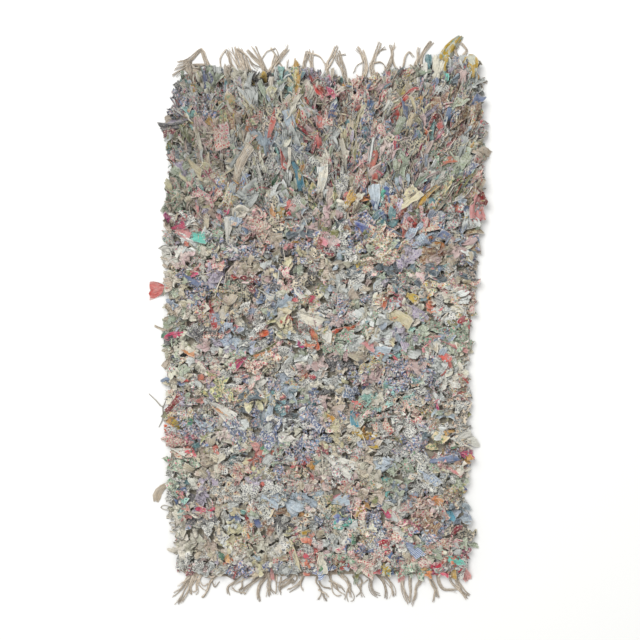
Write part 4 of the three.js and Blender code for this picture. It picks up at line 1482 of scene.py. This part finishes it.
def strand_yarns(rng, width, tip_width, yarns, route, lift):
    """Paths of the yarns of one strand. They run side by side, cross and part at the tip."""
    route = np.array(route, float)
    root = longer(route[1::-1], STRAND_ROOT_DEPTH)
    route[-1] = longer(route, STRAND_TIP)
    route = np.vstack([root, route])
    share = np.linspace(0, 1, YARN_STEPS)
    room = width + (tip_width - width) * share
    paths = []
    for yarn in range(yarns):
        core = curve_through(route, YARN_STEPS, spread(rng, SHORTEST_YARN, 1))
        along = np.gradient(core, axis=0)
        along /= np.hypot(along[:, 0], along[:, 1])[:, None]
        across = np.stack([along[:, 1], -along[:, 0]], 1)
        place = ((yarn + 0.5) / yarns - 0.5) * room
        wave = np.sin(2 * np.pi * (share * spread(rng, *SIDE_WAVES) + rng.random()))
        side = place + SIDE_WAVE * room * wave + rng.normal(0, TIP_PARTING) * share**3
        flat = core + across * side[:, None]
        over = 1 + np.sin(2 * np.pi * (share * spread(rng, *OVER_WAVES) + rng.random()))
        arch = ARCH * lift * np.sin(np.pi * share)
        height = YARN_RADIUS + FLOOR_CLEARANCE + OVER_WAVE * over + arch
        paths.append(np.column_stack([flat, height]))
    return paths


def fringe_pieces():
    pieces = []
    material = yarn_material()
    for end, name, edge, strands in (
        (1, "far", far_edge, FAR_STRANDS),
        (-1, "near", near_edge, NEAR_STRANDS),
    ):
        rng = np.random.default_rng(FRINGE_SEED + end)
        paths = []
        for number, strand in enumerate(strands):
            paths += strand_yarns(rng, *strand, number % YARN_LIFTS)
        yarns = len(paths)
        for width, tip_width, _, route in strands:
            paths += strand_yarns(rng, width, WISP_SPREAD * tip_width, 1, route, 1)
        paths = np.array(paths)
        taper = np.linspace(*YARN_TAPER, YARN_STEPS)
        radii = YARN_RADIUS * taper * spread(rng, *YARN_SIZES, (len(paths), 1))
        radii[yarns:] *= WISP_THICKNESS
        node = "fringe_" + name
        pieces.append(tube_mesh(
            "tassels_" + name, paths, radii, material, node,
            rng.random(len(paths)),
        ))
        pieces.append(heading_piece(name, end, edge, node, material))
    return pieces


# Headings: their ends, their wefts and warps, the height of a weft and what its bulge and the
# waves over the warps add, and how the edge towards the pile runs in and out.
HEADING_ENDS = {"near": (-445, 462), "far": (-430, 486)}
HEADING_WEFTS = 5
HEADING_STEPS = 140
HEADING_BOTTOM = 0.2
WARP_PITCH = 9.6
WEFT_HEIGHT = 2.6
WEFT_BULGE = 0.9
WARP_WAVE = 0.45
EDGE_WAVE = 0.35
EDGE_WAVE_LENGTH = 19
# How much the bulge and the waves raise a weft, for the painted shade in its hollows.
BULGE_RAISED = 0.7
WAVE_RAISED = 0.3


def heading_piece(name, end, edge, node, material):
    """The plain woven strip at an end: thick wefts that bulge between the warps."""
    x = np.linspace(*HEADING_ENDS[name], HEADING_STEPS + 1)
    across = np.linspace(0, 1, 4 * HEADING_WEFTS + 1)
    y = edge(x, 2)[None, :] - end * HEADING_DEPTH * across[:, None]
    grid_x = np.broadcast_to(x, y.shape)
    weft = np.floor(across * HEADING_WEFTS)[:, None]
    bulge = np.abs(np.sin(np.pi * across * HEADING_WEFTS))[:, None]
    wave = np.sin(np.pi * (grid_x / WARP_PITCH + weft))
    z = WEFT_HEIGHT + WEFT_BULGE * bulge + WARP_WAVE * wave * bulge
    y = y + EDGE_WAVE * np.sin(grid_x / EDGE_WAVE_LENGTH) * (1 - across[:, None])
    top = np.stack([grid_x, y, z], 2)
    bottom = np.stack([grid_x, y, np.full_like(z, HEADING_BOTTOM)], 2)
    # How raised each point of a weft is; the material paints shade in the hollows.
    raised = BULGE_RAISED * bulge + WAVE_RAISED * wave
    if end > 0:
        top, bottom, raised = top[::-1], bottom[::-1], raised[::-1]
    return slab_mesh("heading_" + name, top, bottom, material, node, raised)


# Ground cloth: its grid, the heights of its ribs, and how uneven it is.
GROUND_COLUMNS = 44
GROUND_LINES_PER_ROW = 3
RIB = 0.5
RIB_BELOW_TOP = 1.2
RIB_ABOVE_FLOOR = 0.7
GROUND_UNEVEN = 0.25


def ground_piece():
    """The woven ground that the knots are tied in: ribbed by its rows, above and below."""
    rows = round((far_edge(0) - near_edge(0)) / ROW_PITCH)
    lines = rows * GROUND_LINES_PER_ROW
    u, v = np.meshgrid(np.linspace(0, 1, GROUND_COLUMNS + 1), np.linspace(0, 1, lines + 1))
    x = outline_point(u, v)[0] * (1 - SIDE_OVERHANG / HALF_WIDTH)
    inset = HEADING_DEPTH + PIECE_GAP
    near = near_edge(x, 2) + inset
    far = far_edge(x, 2) - inset
    y = near + v * (far - near)
    rib = RIB * np.sin(2 * np.pi * np.arange(lines + 1) / GROUND_LINES_PER_ROW)[:, None]
    uneven = np.random.default_rng(GROUND_SEED).normal(0, GROUND_UNEVEN, u.shape)
    top = np.stack([x, y, GROUND_HEIGHT - RIB_BELOW_TOP + rib + uneven], 2)
    bottom = np.stack([x, y, np.clip(RIB_ABOVE_FLOOR - rib + 0.5 * uneven, 0, None)], 2)
    return slab_mesh(
        "ground_weave", top, bottom, ground_material(), "rag_pile",
        np.zeros(x.shape),
    )


# Loose cords and threads. Besides those in the table, there are random ones: where they start,
# the number and lengths of their parts, how they bend, their radii, and more pale than dark.
CORD_STEPS = 12
RANDOM_THREADS = 150
THREADS_ACROSS = (0.05, 0.95)
THREADS_ALONG = (0.04, 0.96)
THREAD_PARTS = 4
THREAD_PART = (7, 18)
THREAD_BEND = 0.7
THREAD_RADII = (0.5, 1.0)
THREAD_PALER = 0.6
# A cord follows the smoothed pile, sinks little between rags, and its ends dip into the pile.
SMOOTHING = (0.1, 0.2, 0.4, 0.2, 0.1)
CORD_SINKS = 3
END_DIPS = 4
CORD_FLOOR = 0.5
END_FLOOR = 0.3
# Thickness along a cord, as a share of its radius.
THINNEST = 0.45
THICKER = 0.55
THICKNESS_WAVE = (0.25, 2.9)


def random_thread(rng):
    """A bent line of points somewhere on the pile."""
    x, y = outline_point(spread(rng, *THREADS_ACROSS), spread(rng, *THREADS_ALONG))
    way = spread(rng, 0, 2 * np.pi)
    route = [(x, y)]
    for _ in range(THREAD_PARTS):
        x += spread(rng, *THREAD_PART) * math.cos(way)
        y += spread(rng, *THREAD_PART) * math.sin(way)
        way += rng.normal(0, THREAD_BEND)
        route.append((x, y))
    return route


def lay_cord(surface, route, radius):
    """Path of a cord over the pile."""
    flat = curve_through(np.array(route, float), CORD_STEPS)
    ground = np.array([surface.height[surface.cell(*spot)] for spot in flat])
    margin = len(SMOOTHING) // 2
    top = np.convolve(np.pad(ground, margin, "edge"), SMOOTHING, "valid")
    top = np.maximum(top, ground - CORD_SINKS) + radius
    z = np.clip(top, radius + CORD_FLOOR, HIGHEST - radius)
    z[[0, -1]] = np.maximum(z[[0, -1]] - END_DIPS, radius + END_FLOOR)
    return np.column_stack([flat, z])


def thread_piece(surface):
    rng = np.random.default_rng(THREAD_SEED)
    cords = list(LOOSE_CORDS)
    for _ in range(RANDOM_THREADS):
        cords.append((random_thread(rng), spread(rng, *THREAD_RADII), rng.random()**THREAD_PALER))
    paths = np.array([lay_cord(surface, route, radius) for route, radius, _ in cords])
    radii = np.array([radius for _, radius, _ in cords])[:, None]
    swell = THINNEST + THICKER * np.sin(np.linspace(*THICKNESS_WAVE, CORD_STEPS))
    tones = np.array([tone for *_, tone in cords])
    return tube_mesh(
        "loose_threads", paths, radii * swell, thread_material(), "rag_pile", tones
    )


def curve_through(route, steps, last=1.0):
    """A smooth line through a few points, with even steps up to a share of its length."""
    gaps = np.hypot(*np.diff(route, axis=0).T)
    at = np.concatenate([[0], np.cumsum(gaps)])
    wanted = np.linspace(0, at[-1] * last, steps)
    slope = np.gradient(route, at, axis=0)
    k = np.clip(np.searchsorted(at, wanted, "right") - 1, 0, len(at) - 2)
    gap = (at[k + 1] - at[k])[:, None]
    t = (wanted - at[k])[:, None] / gap
    return (
        (2 * t**3 - 3 * t**2 + 1) * route[k] + (t**3 - 2 * t**2 + t) * gap * slope[k]
        + (3 * t**2 - 2 * t**3) * route[k + 1] + (t**3 - t**2) * gap * slope[k + 1]
    )


# Materials.
def srgb(red, green, blue):
    """A colour as seen, from 0 to 255, as the numbers that a shader takes."""
    def linear(value):
        value = value / 255
        return value / 12.92 if value <= 0.04045 else ((value + 0.055) / 1.055) ** 2.4

    return linear(red), linear(green), linear(blue), 1.0


# Specular level of all cotton.
SPECULAR = 0.25


class Nodes:
    """Short ways to add shader nodes to one material."""

    def __init__(self, name):
        self.material = bpy.data.materials.new(name)
        self.material.use_nodes = True
        self.tree = self.material.node_tree
        self.sockets = self.tree.nodes["Principled BSDF"].inputs

    def put(self, socket, value):
        if isinstance(value, bpy.types.NodeSocket):
            self.tree.links.new(value, socket)
        else:
            socket.default_value = value

    def add(self, kind, inputs=None, **settings):
        node = self.tree.nodes.new("ShaderNode" + kind)
        for name, value in settings.items():
            setattr(node, name, value)
        for name, value in (inputs or {}).items():
            self.put(node.inputs[name], value)
        return node

    def math(self, operation, a, b=0.0):
        return self.add("Math", {0: a, 1: b}, operation=operation).outputs[0]

    def times(self, a, b):
        return self.math("MULTIPLY", a, b)

    def plus(self, a, b):
        return self.math("ADD", a, b)

    def below(self, a, b):
        return self.math("LESS_THAN", a, b)

    def wave(self, along, pitch):
        """A sine wave with a pitch in millimetres, from -1 to 1."""
        return self.math("SINE", self.times(along, 2 * math.pi / (pitch * MM)))

    def vector(self, vector, by, operation="ADD"):
        return self.add("VectorMath", {0: vector, 1: by}, operation=operation).outputs[0]

    def scale(self, vector, factor):
        inputs = {0: vector, "Scale": factor}
        return self.add("VectorMath", inputs, operation="SCALE").outputs[0]

    def mapping(self, vector, **settings):
        return self.add("Mapping", {"Vector": vector, **settings}).outputs[0]

    def split(self, vector):
        return self.add("SeparateXYZ", {0: vector}).outputs

    def map(self, name):
        return self.add("UVMap", uv_map=name).outputs[0]

    def number(self, name):
        return self.add("Attribute", attribute_name=name).outputs["Fac"]

    def noise(self, vector, scale, detail=2.0):
        inputs = {"Vector": vector, "Scale": scale, "Detail": detail}
        return self.add("TexNoise", inputs).outputs[0]

    def ramp(self, factor, low, high, start=0.0, end=1.0):
        inputs = {0: factor, 1: low, 2: high, 3: start, 4: end}
        return self.add("MapRange", inputs).outputs[0]

    def mix(self, factor, a, b, blend="MIX"):
        node = self.add("Mix", {0: factor, 6: a, 7: b}, data_type="RGBA", blend_type=blend)
        return node.outputs[2]

    def shade(self, colour, factor):
        grey = self.add("CombineXYZ", {0: factor, 1: factor, 2: factor}).outputs[0]
        return self.mix(1.0, colour, grey, "MULTIPLY")

    def bump(self, height, distance, strength=1.0, under=None):
        inputs = {"Strength": strength, "Distance": distance, "Height": height}
        if under is not None:
            inputs["Normal"] = under
        return self.add("Bump", inputs).outputs[0]

    def weave(self, cloth, pitch):
        """Over and under of a plain weave, from -1 to 1."""
        parts = self.split(self.scale(cloth, 2 * math.pi / (pitch * MM)))
        return self.times(self.math("SINE", parts[0]), self.math("SINE", parts[1]))

    def finish(self, colour, roughness, normal, sheen):
        """Sets the shader for dull cotton, and gives the material."""
        self.put(self.sockets["Base Color"], colour)
        self.put(self.sockets["Roughness"], roughness)
        self.put(self.sockets["Normal"], normal)
        self.sockets["Specular IOR Level"].default_value = SPECULAR
        self.sockets["Sheen Weight"].default_value = sheen
        return self.material


# Prints. Each takes the cloth's place in metres and the colour so far, and gives the new colour.
# Their sizes are: gaps between petals and the heart of a daisy, as shares of its radius, the raggedness of
# bouquets, and the size, turn and stretch of leaves.
PETAL_GAPS = 0.62
HEART = 0.32
RAGGEDNESS = 900.0
PRINT_LOOSE = 0.9
LEAF_SIZE = 0.36
LEAF_TURN = 0.7
LEAF_STRETCH = 2.4


def cells(n, cloth, pitch, loose, seed):
    """Cells of a pitch in millimetres: the place in them, and each one's distance and middle."""
    moved = n.vector(n.scale(cloth, 1 / (pitch * MM)), (seed * 7.3, seed * 3.1, 0))
    inputs = {"Vector": moved, "Scale": 1.0, "Randomness": loose}
    return moved, n.add("TexVoronoi", inputs, voronoi_dimensions="2D").outputs


def dots(n, cloth, colour, pitch, radius, ink, loose=0.6, seed=0):
    _, cell = cells(n, cloth, pitch, loose, seed)
    return n.mix(n.below(cell["Distance"], radius / pitch), colour, ink)


def daisies(n, cloth, colour, pitch, radius, petal, heart, petals=7, seed=0):
    place, cell = cells(n, cloth, pitch, 0.7, seed)
    local = n.split(n.vector(place, cell["Position"], "SUBTRACT"))
    wave = n.math("COSINE", n.times(n.math("ARCTAN2", local[1], local[0]), petals))
    edge = n.ramp(wave, -1, 1, PETAL_GAPS * radius / pitch, radius / pitch)
    on_petal = n.below(cell["Distance"], edge)
    on_heart = n.below(cell["Distance"], HEART * radius / pitch)
    return n.mix(on_heart, n.mix(on_petal, colour, petal), heart)


def bouquets(n, cloth, colour, pitch, radius, inks, seed=0, rough=0.09):
    """Loose flower heads in several colours, with ragged edges. Each colour's are smaller."""
    ragged = n.ramp(n.noise(cloth, RAGGEDNESS / radius, 1.0), 0.3, 0.7, -rough, rough)
    for k, ink in enumerate(inks):
        _, cell = cells(n, cloth, pitch, PRINT_LOOSE, seed + 1.7 * k)
        size = radius / pitch * (1 - 0.08 * k)
        colour = n.mix(n.below(n.plus(cell["Distance"], ragged), size), colour, ink)
    return colour


def leaves(n, cloth, colour, pitch, ink, seed=0):
    stretched = n.mapping(cloth, Rotation=(0, 0, LEAF_TURN), Scale=(1, LEAF_STRETCH, 1))
    _, cell = cells(n, stretched, pitch, PRINT_LOOSE, seed)
    return n.mix(n.below(cell["Distance"], LEAF_SIZE), colour, ink)


def stripes(n, cloth, colour, pitch, share, ink):
    across = n.math("FRACT", n.times(n.split(cloth)[0], 1 / (pitch * MM)))
    return n.mix(n.below(across, share), colour, ink)


def checks(n, cloth, colour, pitch, ink):
    """Gingham: stripes both ways, darker where they cross."""
    parts = n.split(cloth)
    for part in (parts[0], parts[1]):
        across = n.math("FRACT", n.times(part, 1 / (pitch * MM)))
        colour = n.mix(n.times(n.below(across, 0.5), 0.5), colour, ink)
    return colour


# Colours that all cloths share: washed out, of frayed rims, of grime with painted shade deep in
# the pile, and of painted shade where yarns face away from the top.
WASHED_OUT = srgb(217, 216, 211)
FRAYED = srgb(232, 230, 224)
GRIME_AND_SHADE = srgb(82, 80, 80)
YARN_SIDE_SHADE = srgb(112, 92, 72)
# Rags: sizes of the worn patches, pleats and crumple, as noise scales, the pitch of the weave
# in millimetres, and the depths of the relief in metres.
WORN_PATCHES = 45.0
PLEATS = (230, 34, 1)
CRUMPLES = 190.0
THREAD_PITCH = 1.1
THREAD_DEPTH = 0.0002
PLEAT_DEPTH = 0.005
CRUMPLE_DEPTH = 0.003
SATURATION = 1.15
CLOTH_SHEEN = 0.12
YARN_SHEEN = 0.15


def cloth_material(name, pale, dark, prints, washed=0.42):
    """Worn cotton: two shades of dye, prints, washing out, and painted shade on pleats and with grime in
    the pile.
    """
    n = Nodes("cloth_" + name)
    cloth = n.map("cloth")
    tone = n.number("rag_tone")
    colour = n.mix(tone, srgb(*dark), srgb(*pale))
    for draw, settings in prints:
        colour = draw(n, cloth, colour, **settings)
    worn = n.ramp(n.noise(cloth, WORN_PATCHES, 3.0), 0.35, 0.75, 0.04, washed)
    colour = n.mix(worn, colour, WASHED_OUT)

    pleats = n.noise(n.mapping(cloth, Scale=PLEATS), 1.0)
    crumple = n.noise(cloth, CRUMPLES, 4.0)
    # Painted shade and light along the pleats and crumples, from the noise that also bumps them.
    colour = n.shade(colour, n.ramp(pleats, 0.3, 0.7, 0.78, 1.12))
    colour = n.shade(colour, n.ramp(crumple, 0.25, 0.75, 0.84, 1.1))
    colour = n.mix(n.ramp(n.number("rag_edge"), 0.4, 2.2, 0.42, 0.0), colour, FRAYED)
    # Painted shade, with some grime, on cloth deep in the pile and in the nap.
    colour = n.mix(n.ramp(n.number("rag_grime_shade"), 0.0, 0.4, 0.0, 0.7), colour, GRIME_AND_SHADE)
    colour = n.add("HueSaturation", {
        "Hue": n.ramp(n.number("rag_hue"), 0, 1, 0.476, 0.524), "Saturation": SATURATION,
        "Value": n.ramp(tone, 0, 1, 0.86, 1.06), "Color": colour,
    }).outputs[0]

    fine = n.bump(n.weave(cloth, THREAD_PITCH), THREAD_DEPTH, 0.35)
    folded = n.bump(pleats, PLEAT_DEPTH, 0.9, fine)
    crumpled = n.bump(crumple, CRUMPLE_DEPTH, 0.7, folded)
    return n.finish(colour, n.ramp(crumple, 0.2, 0.8, 0.82, 0.96), crumpled, CLOTH_SHEEN)


def cotton(name, dark, pale, pitch, dimmest):
    """Undyed cotton yarn, plied, with painted shade in its ply grooves and where it faces away from the
    top.
    """
    n = Nodes(name)
    cloth = n.map("cloth")
    tone = n.number("yarn_tone")
    colour = n.mix(n.ramp(n.noise(cloth, 120.0, 3.0), 0.3, 0.7), srgb(*dark), srgb(*pale))
    ply = n.wave(n.split(n.mapping(cloth, Rotation=(0, 0, 0.6)))[1], pitch)
    # Painted shade in the grooves of the ply, from the wave that also bumps it.
    colour = n.shade(colour, n.ramp(ply, -1, 1, 0.84, 1.05))
    colour = n.shade(colour, n.ramp(tone, 0, 1, dimmest, 1.08))
    # Painted shade on the sides and underside of a yarn, and in the hollows of the heading's wefts.
    colour = n.mix(n.ramp(n.number("yarn_top"), -0.1, 0.85, 0.62, 0.0), colour, YARN_SIDE_SHADE)
    roughness = n.ramp(ply, -1, 1, 0.92, 0.84)
    return n.finish(colour, roughness, n.bump(ply, 0.0005, 0.7), YARN_SHEEN)


def yarn_material():
    return cotton("warp_yarn", (190, 172, 150), (240, 229, 212), 2.6, 0.55)


def thread_material():
    return cotton("loose_thread", (220, 210, 190), (246, 240, 226), 3.2, 0.4)


# Colours of the knots' backs on the underside, drawn by lot, and of the wefts between them.
KNOT_BACKS = [
    (196, 190, 174), (160, 165, 161), (190, 170, 161), (208, 203, 190), (147, 154, 139),
    (192, 185, 163), (122, 128, 142), (176, 165, 146), (164, 124, 118), (202, 196, 184),
    (146, 140, 152), (176, 180, 176), (112, 115, 118), (200, 188, 174),
]


DARK_WEFT = srgb(176, 166, 146)
PALE_WEFT = srgb(206, 198, 180)
WEFT_PITCH = 3.5
GROUND_WEAVE_PITCH = 7.0
GROUND_DEPTH = 0.0014
# How narrow and how flat a knot's back is in its cell.
BACK_NARROW = 1.9
BACK_FLAT = 5.4


def knot_backs(n, draw):
    """One of the colours of knots for a number from 0 to 1."""
    backs = n.add("ValToRGB", {0: draw})
    backs.color_ramp.interpolation = "CONSTANT"
    elements = backs.color_ramp.elements
    for k, shade in enumerate(KNOT_BACKS):
        element = elements[k] if k < 2 else elements.new(k / len(KNOT_BACKS))
        element.position = k / len(KNOT_BACKS)
        element.color = srgb(*shade)
    return backs.outputs[0]


def ground_material():
    """Ribbed cream wefts, with the backs of the knots as ragged flecks of cloth in every row."""
    n = Nodes("ground_cotton")
    cloth = n.map("cloth")
    knot = n.split(n.vector(cloth, (1 / (KNOT_PITCH * MM), 1 / (ROW_PITCH * MM), 0), "MULTIPLY"))
    row = n.math("FLOOR", knot[1])
    shifted = n.plus(knot[0], n.times(row, 0.5))
    place = n.add("CombineXYZ", {0: n.math("FLOOR", shifted), 1: row, 2: 0.0}).outputs[0]
    draw = n.add("TexWhiteNoise", {"Vector": place}, noise_dimensions="2D").outputs[0]

    # A knot's back is an oval fleck, off the middle of its cell, with a ragged edge.
    aside = n.ramp(n.noise(cloth, 70.0), 0.3, 0.7, 0.32, 0.68)
    above = n.ramp(n.noise(n.vector(cloth, (3.1, 1.7, 0)), 70.0), 0.3, 0.7, 0.38, 0.62)
    side = n.times(n.math("SUBTRACT", n.math("FRACT", shifted), aside), BACK_NARROW)
    rise = n.times(n.math("SUBTRACT", n.math("FRACT", knot[1]), above), BACK_FLAT)
    away = n.plus(n.times(side, side), n.times(rise, rise))
    size = n.ramp(draw, 0.0, 1.0, -0.2, 0.35)
    ragged = n.ramp(n.noise(cloth, 300.0, 3.0), 0.3, 0.7, -0.7, 0.7)
    on_knot = n.ramp(n.plus(n.plus(away, size), ragged), 0.6, 0.95, 1.0, 0.0)
    colour = n.mix(n.noise(cloth, 60.0, 3.0), DARK_WEFT, PALE_WEFT)
    # Painted shade of folds on the knots' backs.
    fold = n.noise(n.vector(cloth, (1.0, 0.3, 1.0), "MULTIPLY"), 500.0, 3.0)
    knotted = n.shade(knot_backs(n, draw), n.ramp(fold, 0.3, 0.7, 0.8, 1.12))
    colour = n.mix(on_knot, colour, knotted)

    rib = n.wave(n.split(cloth)[1], WEFT_PITCH)
    over = n.weave(cloth, GROUND_WEAVE_PITCH)
    crumple = n.noise(cloth, 260.0, 4.0)
    relief = n.plus(n.times(rib, 0.35), n.times(over, 0.3))
    # Painted shade in the hollows of the ribs, the weave and the crumples, from the relief that also bumps
    # them.
    colour = n.shade(colour, n.ramp(relief, -0.65, 0.65, 0.7, 1.06))
    colour = n.shade(colour, n.ramp(crumple, 0.25, 0.75, 0.84, 1.08))
    raised = n.plus(n.plus(relief, on_knot), n.times(crumple, 0.8))
    roughness = n.ramp(relief, -0.6, 0.6, 0.95, 0.85)
    return n.finish(colour, roughness, n.bump(raised, GROUND_DEPTH, 0.9), CLOTH_SHEEN)


INK = srgb(28, 30, 40)
RED = srgb(176, 40, 44)
CREAM = srgb(222, 212, 188)
WHITE = srgb(216, 215, 209)
PINK = srgb(214, 130, 140)
MAROON = srgb(110, 34, 44)

# Fabrics: name, family, share of the knots, pale and dark shade, prints, and how far the
# dye has washed out where that isn't as usual.
FABRICS = [
    ("calico", "cream", 11, (224, 219, 202), (188, 182, 164), []),
    ("linen", "cream", 4, (222, 220, 210), (200, 197, 187), []),
    ("butter", "cream", 3, (220, 211, 178), (190, 179, 146), []),
    ("worn_grey", "grey", 10, (215, 218, 214), (170, 175, 171), []),
    ("sage", "green", 5, (194, 200, 182), (150, 160, 142), [
        (leaves, dict(pitch=13, ink=srgb(150, 160, 132))),
    ]),
    ("dusty_pink", "pink", 4.5, (220, 200, 194), (184, 156, 152), []),
    ("pale_blue", "blue", 2.6, (188, 200, 208), (144, 158, 170), []),
    ("rose", "pink", 1, (216, 156, 152), (188, 120, 122), []),
    ("oatmeal", "oatmeal", 7, (210, 199, 181), (168, 154, 136), [
        (stripes, dict(pitch=7, share=0.3, ink=srgb(178, 160, 136))),
    ]),
    ("rose_sprig", "pink", 8, (224, 212, 194), (192, 178, 162), [
        (dots, dict(pitch=9, radius=2.2, ink=PINK)),
        (dots, dict(pitch=13, radius=2.6, ink=RED, seed=3)),
    ]),
    ("meadow_print", "cream", 9, (226, 219, 200), (192, 184, 166), [
        (bouquets, dict(pitch=13, radius=3.6, inks=[srgb(196, 128, 128), srgb(112, 134, 110),
                                                    srgb(198, 168, 104)], seed=1)),
    ]),
    ("posy_print", "grey", 8, (218, 216, 208), (180, 178, 170), [
        (bouquets, dict(pitch=12, radius=3.4, inks=[srgb(80, 88, 108), srgb(190, 120, 118),
                                                    srgb(134, 150, 130)], seed=6)),
    ]),
    ("navy_dot", "dotted", 9, (222, 221, 212), (188, 187, 178), [
        (dots, dict(pitch=8, radius=2.2, ink=srgb(46, 50, 78))),
    ]),
    ("green_leaf", "green", 5, (206, 210, 192), (164, 170, 152), [
        (leaves, dict(pitch=15, ink=srgb(104, 142, 112), seed=2)),
        (dots, dict(pitch=21, radius=3, ink=PINK, seed=1)),
    ]),
    ("blue_floral", "blue", 1.6, (216, 214, 212), (184, 184, 188), [
        (bouquets, dict(pitch=10, radius=4, inks=[srgb(100, 114, 146), srgb(78, 90, 122)])),
    ]),
    ("blue_stripe", "blue", 0.3, (212, 218, 226), (188, 196, 208), [
        (stripes, dict(pitch=6.5, share=0.42, ink=srgb(92, 116, 166))),
    ], 0.2),
    ("blue_check", "blue", 2, (208, 214, 216), (176, 184, 190), [
        (checks, dict(pitch=8, ink=srgb(112, 134, 168))),
    ]),
    ("lilac", "lilac", 1.8, (194, 186, 196), (152, 142, 156), [
        (dots, dict(pitch=12, radius=2.4, ink=srgb(122, 104, 148))),
    ]),
    ("leopard", "dotted", 4, (216, 204, 180), (172, 160, 136), [
        (dots, dict(pitch=10, radius=3.5, ink=INK, loose=0.95)),
    ]),
    ("daisy", "dotted", 4, (214, 212, 202), (176, 176, 170), [
        (dots, dict(pitch=7, radius=2.0, ink=INK)),
        (daisies, dict(pitch=32, radius=12, petal=srgb(226, 204, 176), heart=MAROON, seed=2)),
    ]),
    ("lemon_print", "yellow", 1.8, (212, 200, 152), (176, 162, 114), [
        (bouquets, dict(pitch=17, radius=5, rough=0.18, inks=[srgb(226, 214, 180),
                                                             srgb(112, 140, 100)])),
    ]),
    ("coral", "red", 1.3, (208, 118, 108), (170, 86, 82), []),
    ("crimson", "red", 0.9, (160, 44, 50), (110, 28, 36), [
        (dots, dict(pitch=12, radius=2.2, ink=CREAM)),
    ]),
    ("scarlet", "red", 0.05, (202, 92, 84), (164, 60, 58), [], 0.45),
    ("maroon_print", "red", 1, (132, 60, 64), (92, 40, 48), [
        (bouquets, dict(pitch=13, radius=4, inks=[CREAM, PINK])),
    ]),
    ("navy_floral", "dark", 7, (50, 55, 78), (31, 34, 50), [
        (bouquets, dict(pitch=13, radius=4.6, inks=[WHITE, srgb(200, 170, 170),
                                                    srgb(120, 140, 176)])),
    ]),
    ("cornflower", "blue", 0.6, (112, 128, 160), (82, 94, 128), []),
    ("cobalt", "blue", 0.3, (86, 108, 154), (62, 82, 126), []),
    ("azure", "teal", 0.05, (72, 138, 156), (50, 108, 130), [], 0.3),
    ("slate", "dark", 0.8, (88, 104, 114), (52, 66, 78), [
        (bouquets, dict(pitch=15, radius=2.4, inks=[srgb(122, 138, 142)])),
    ]),
    ("teal", "teal", 1.2, (92, 134, 140), (56, 94, 104), [
        (bouquets, dict(pitch=15, radius=2.2, inks=[srgb(150, 178, 174)])),
    ]),
    ("brown_spot", "dark", 1.8, (136, 92, 62), (98, 64, 44), [
        (leaves, dict(pitch=19, ink=srgb(176, 156, 128), seed=4)),
    ]),
    ("mustard", "yellow", 0.8, (200, 162, 84), (160, 128, 62), []),
    ("apricot", "yellow", 0.6, (219, 161, 110), (190, 127, 82), []),
    ("tangerine", "red", 0.1, (218, 118, 90), (184, 90, 70), [], 0.45),
    ("charcoal", "dark", 2, (76, 76, 82), (46, 46, 52), [
        (dots, dict(pitch=11, radius=2.2, ink=srgb(170, 160, 150))),
    ]),
    ("magenta", "lilac", 0.4, (208, 88, 122), (158, 56, 90), [
        (bouquets, dict(pitch=16, radius=3, inks=[srgb(150, 76, 120)])),
    ], 0.4),
    ("aqua", "teal", 0.8, (164, 202, 192), (120, 166, 158), [
        (dots, dict(pitch=9, radius=1.9, ink=srgb(38, 84, 92))),
    ]),
    ("turquoise", "teal", 0.1, (122, 200, 184), (100, 176, 164), [], 0.25),
    ("emerald", "green", 0.3, (84, 136, 104), (60, 106, 80), [], 0.35),
    ("olive", "green", 1.4, (146, 144, 94), (108, 108, 68), []),
    ("sunny_floral", "yellow", 0.2, (196, 196, 178), (160, 162, 146), [
        (bouquets, dict(pitch=27, radius=5, inks=[srgb(122, 158, 146)], seed=5)),
        (bouquets, dict(pitch=21, radius=9.5, inks=[srgb(176, 146, 62)], rough=0.26)),
    ], 0.3),
]
FABRIC_NAMES = [row[0] for row in FABRICS]


# Stage, light and camera, in metres and watts.
FLOOR_COLOUR = srgb(240, 240, 238)
FLOOR_ROUGHNESS = 0.9
FLOOR_REACH = 6
WORLD_STRENGTH = 0.735
KEY_SIZE = 4.4
KEY_ENERGY = 340
KEY_PLACE = (-2.4, 3.2, 5.4)


def build_stage():
    n = Nodes("pale_floor")
    n.put(n.sockets["Base Color"], FLOOR_COLOUR)
    n.put(n.sockets["Roughness"], FLOOR_ROUGHNESS)
    mesh = bpy.data.meshes.new("floor")
    signs = [(-1, -1), (1, -1), (1, 1), (-1, 1)]
    corners = [(x * FLOOR_REACH, y * FLOOR_REACH, 0) for x, y in signs]
    mesh.from_pydata(corners, [], [(0, 1, 2, 3)])
    mesh.materials.append(n.material)
    floor = bpy.data.objects.new("floor", mesh)
    bpy.context.scene.collection.objects.link(floor)


def build_light():
    world = bpy.data.worlds.new("studio")
    world.use_nodes = True
    background = world.node_tree.nodes["Background"]
    background.inputs["Color"].default_value = (1, 1, 1, 1)
    background.inputs["Strength"].default_value = WORLD_STRENGTH
    bpy.context.scene.world = world
    light = bpy.data.lights.new("key", "AREA")
    light.shape = "DISK"
    light.size = KEY_SIZE
    light.energy = KEY_ENERGY
    key = bpy.data.objects.new("key", light)
    key.location = KEY_PLACE
    key.rotation_euler = (-key.location).to_track_quat("-Z", "Y").to_euler()
    bpy.context.scene.collection.objects.link(key)


def build_camera():
    lens = bpy.data.cameras.new("camera")
    lens.sensor_fit = "HORIZONTAL"
    lens.angle = 2 * math.atan(VIEW_WIDTH / 2 / (CAMERA_HEIGHT - FOCUS_HEIGHT))
    camera = bpy.data.objects.new("camera", lens)
    camera.location = (0, CAMERA_Y * MM, CAMERA_HEIGHT * MM)
    bpy.context.scene.collection.objects.link(camera)
    bpy.context.scene.camera = camera
    bpy.context.scene.view_settings.view_transform = "Standard"


build_camera()
build_light()
build_stage()
sizes, fabric, cloth, surface = build_rags()
pieces = rag_pieces(sizes, fabric, cloth)
pieces.append(thread_piece(surface))
pieces += fringe_pieces()
ground = ground_piece()
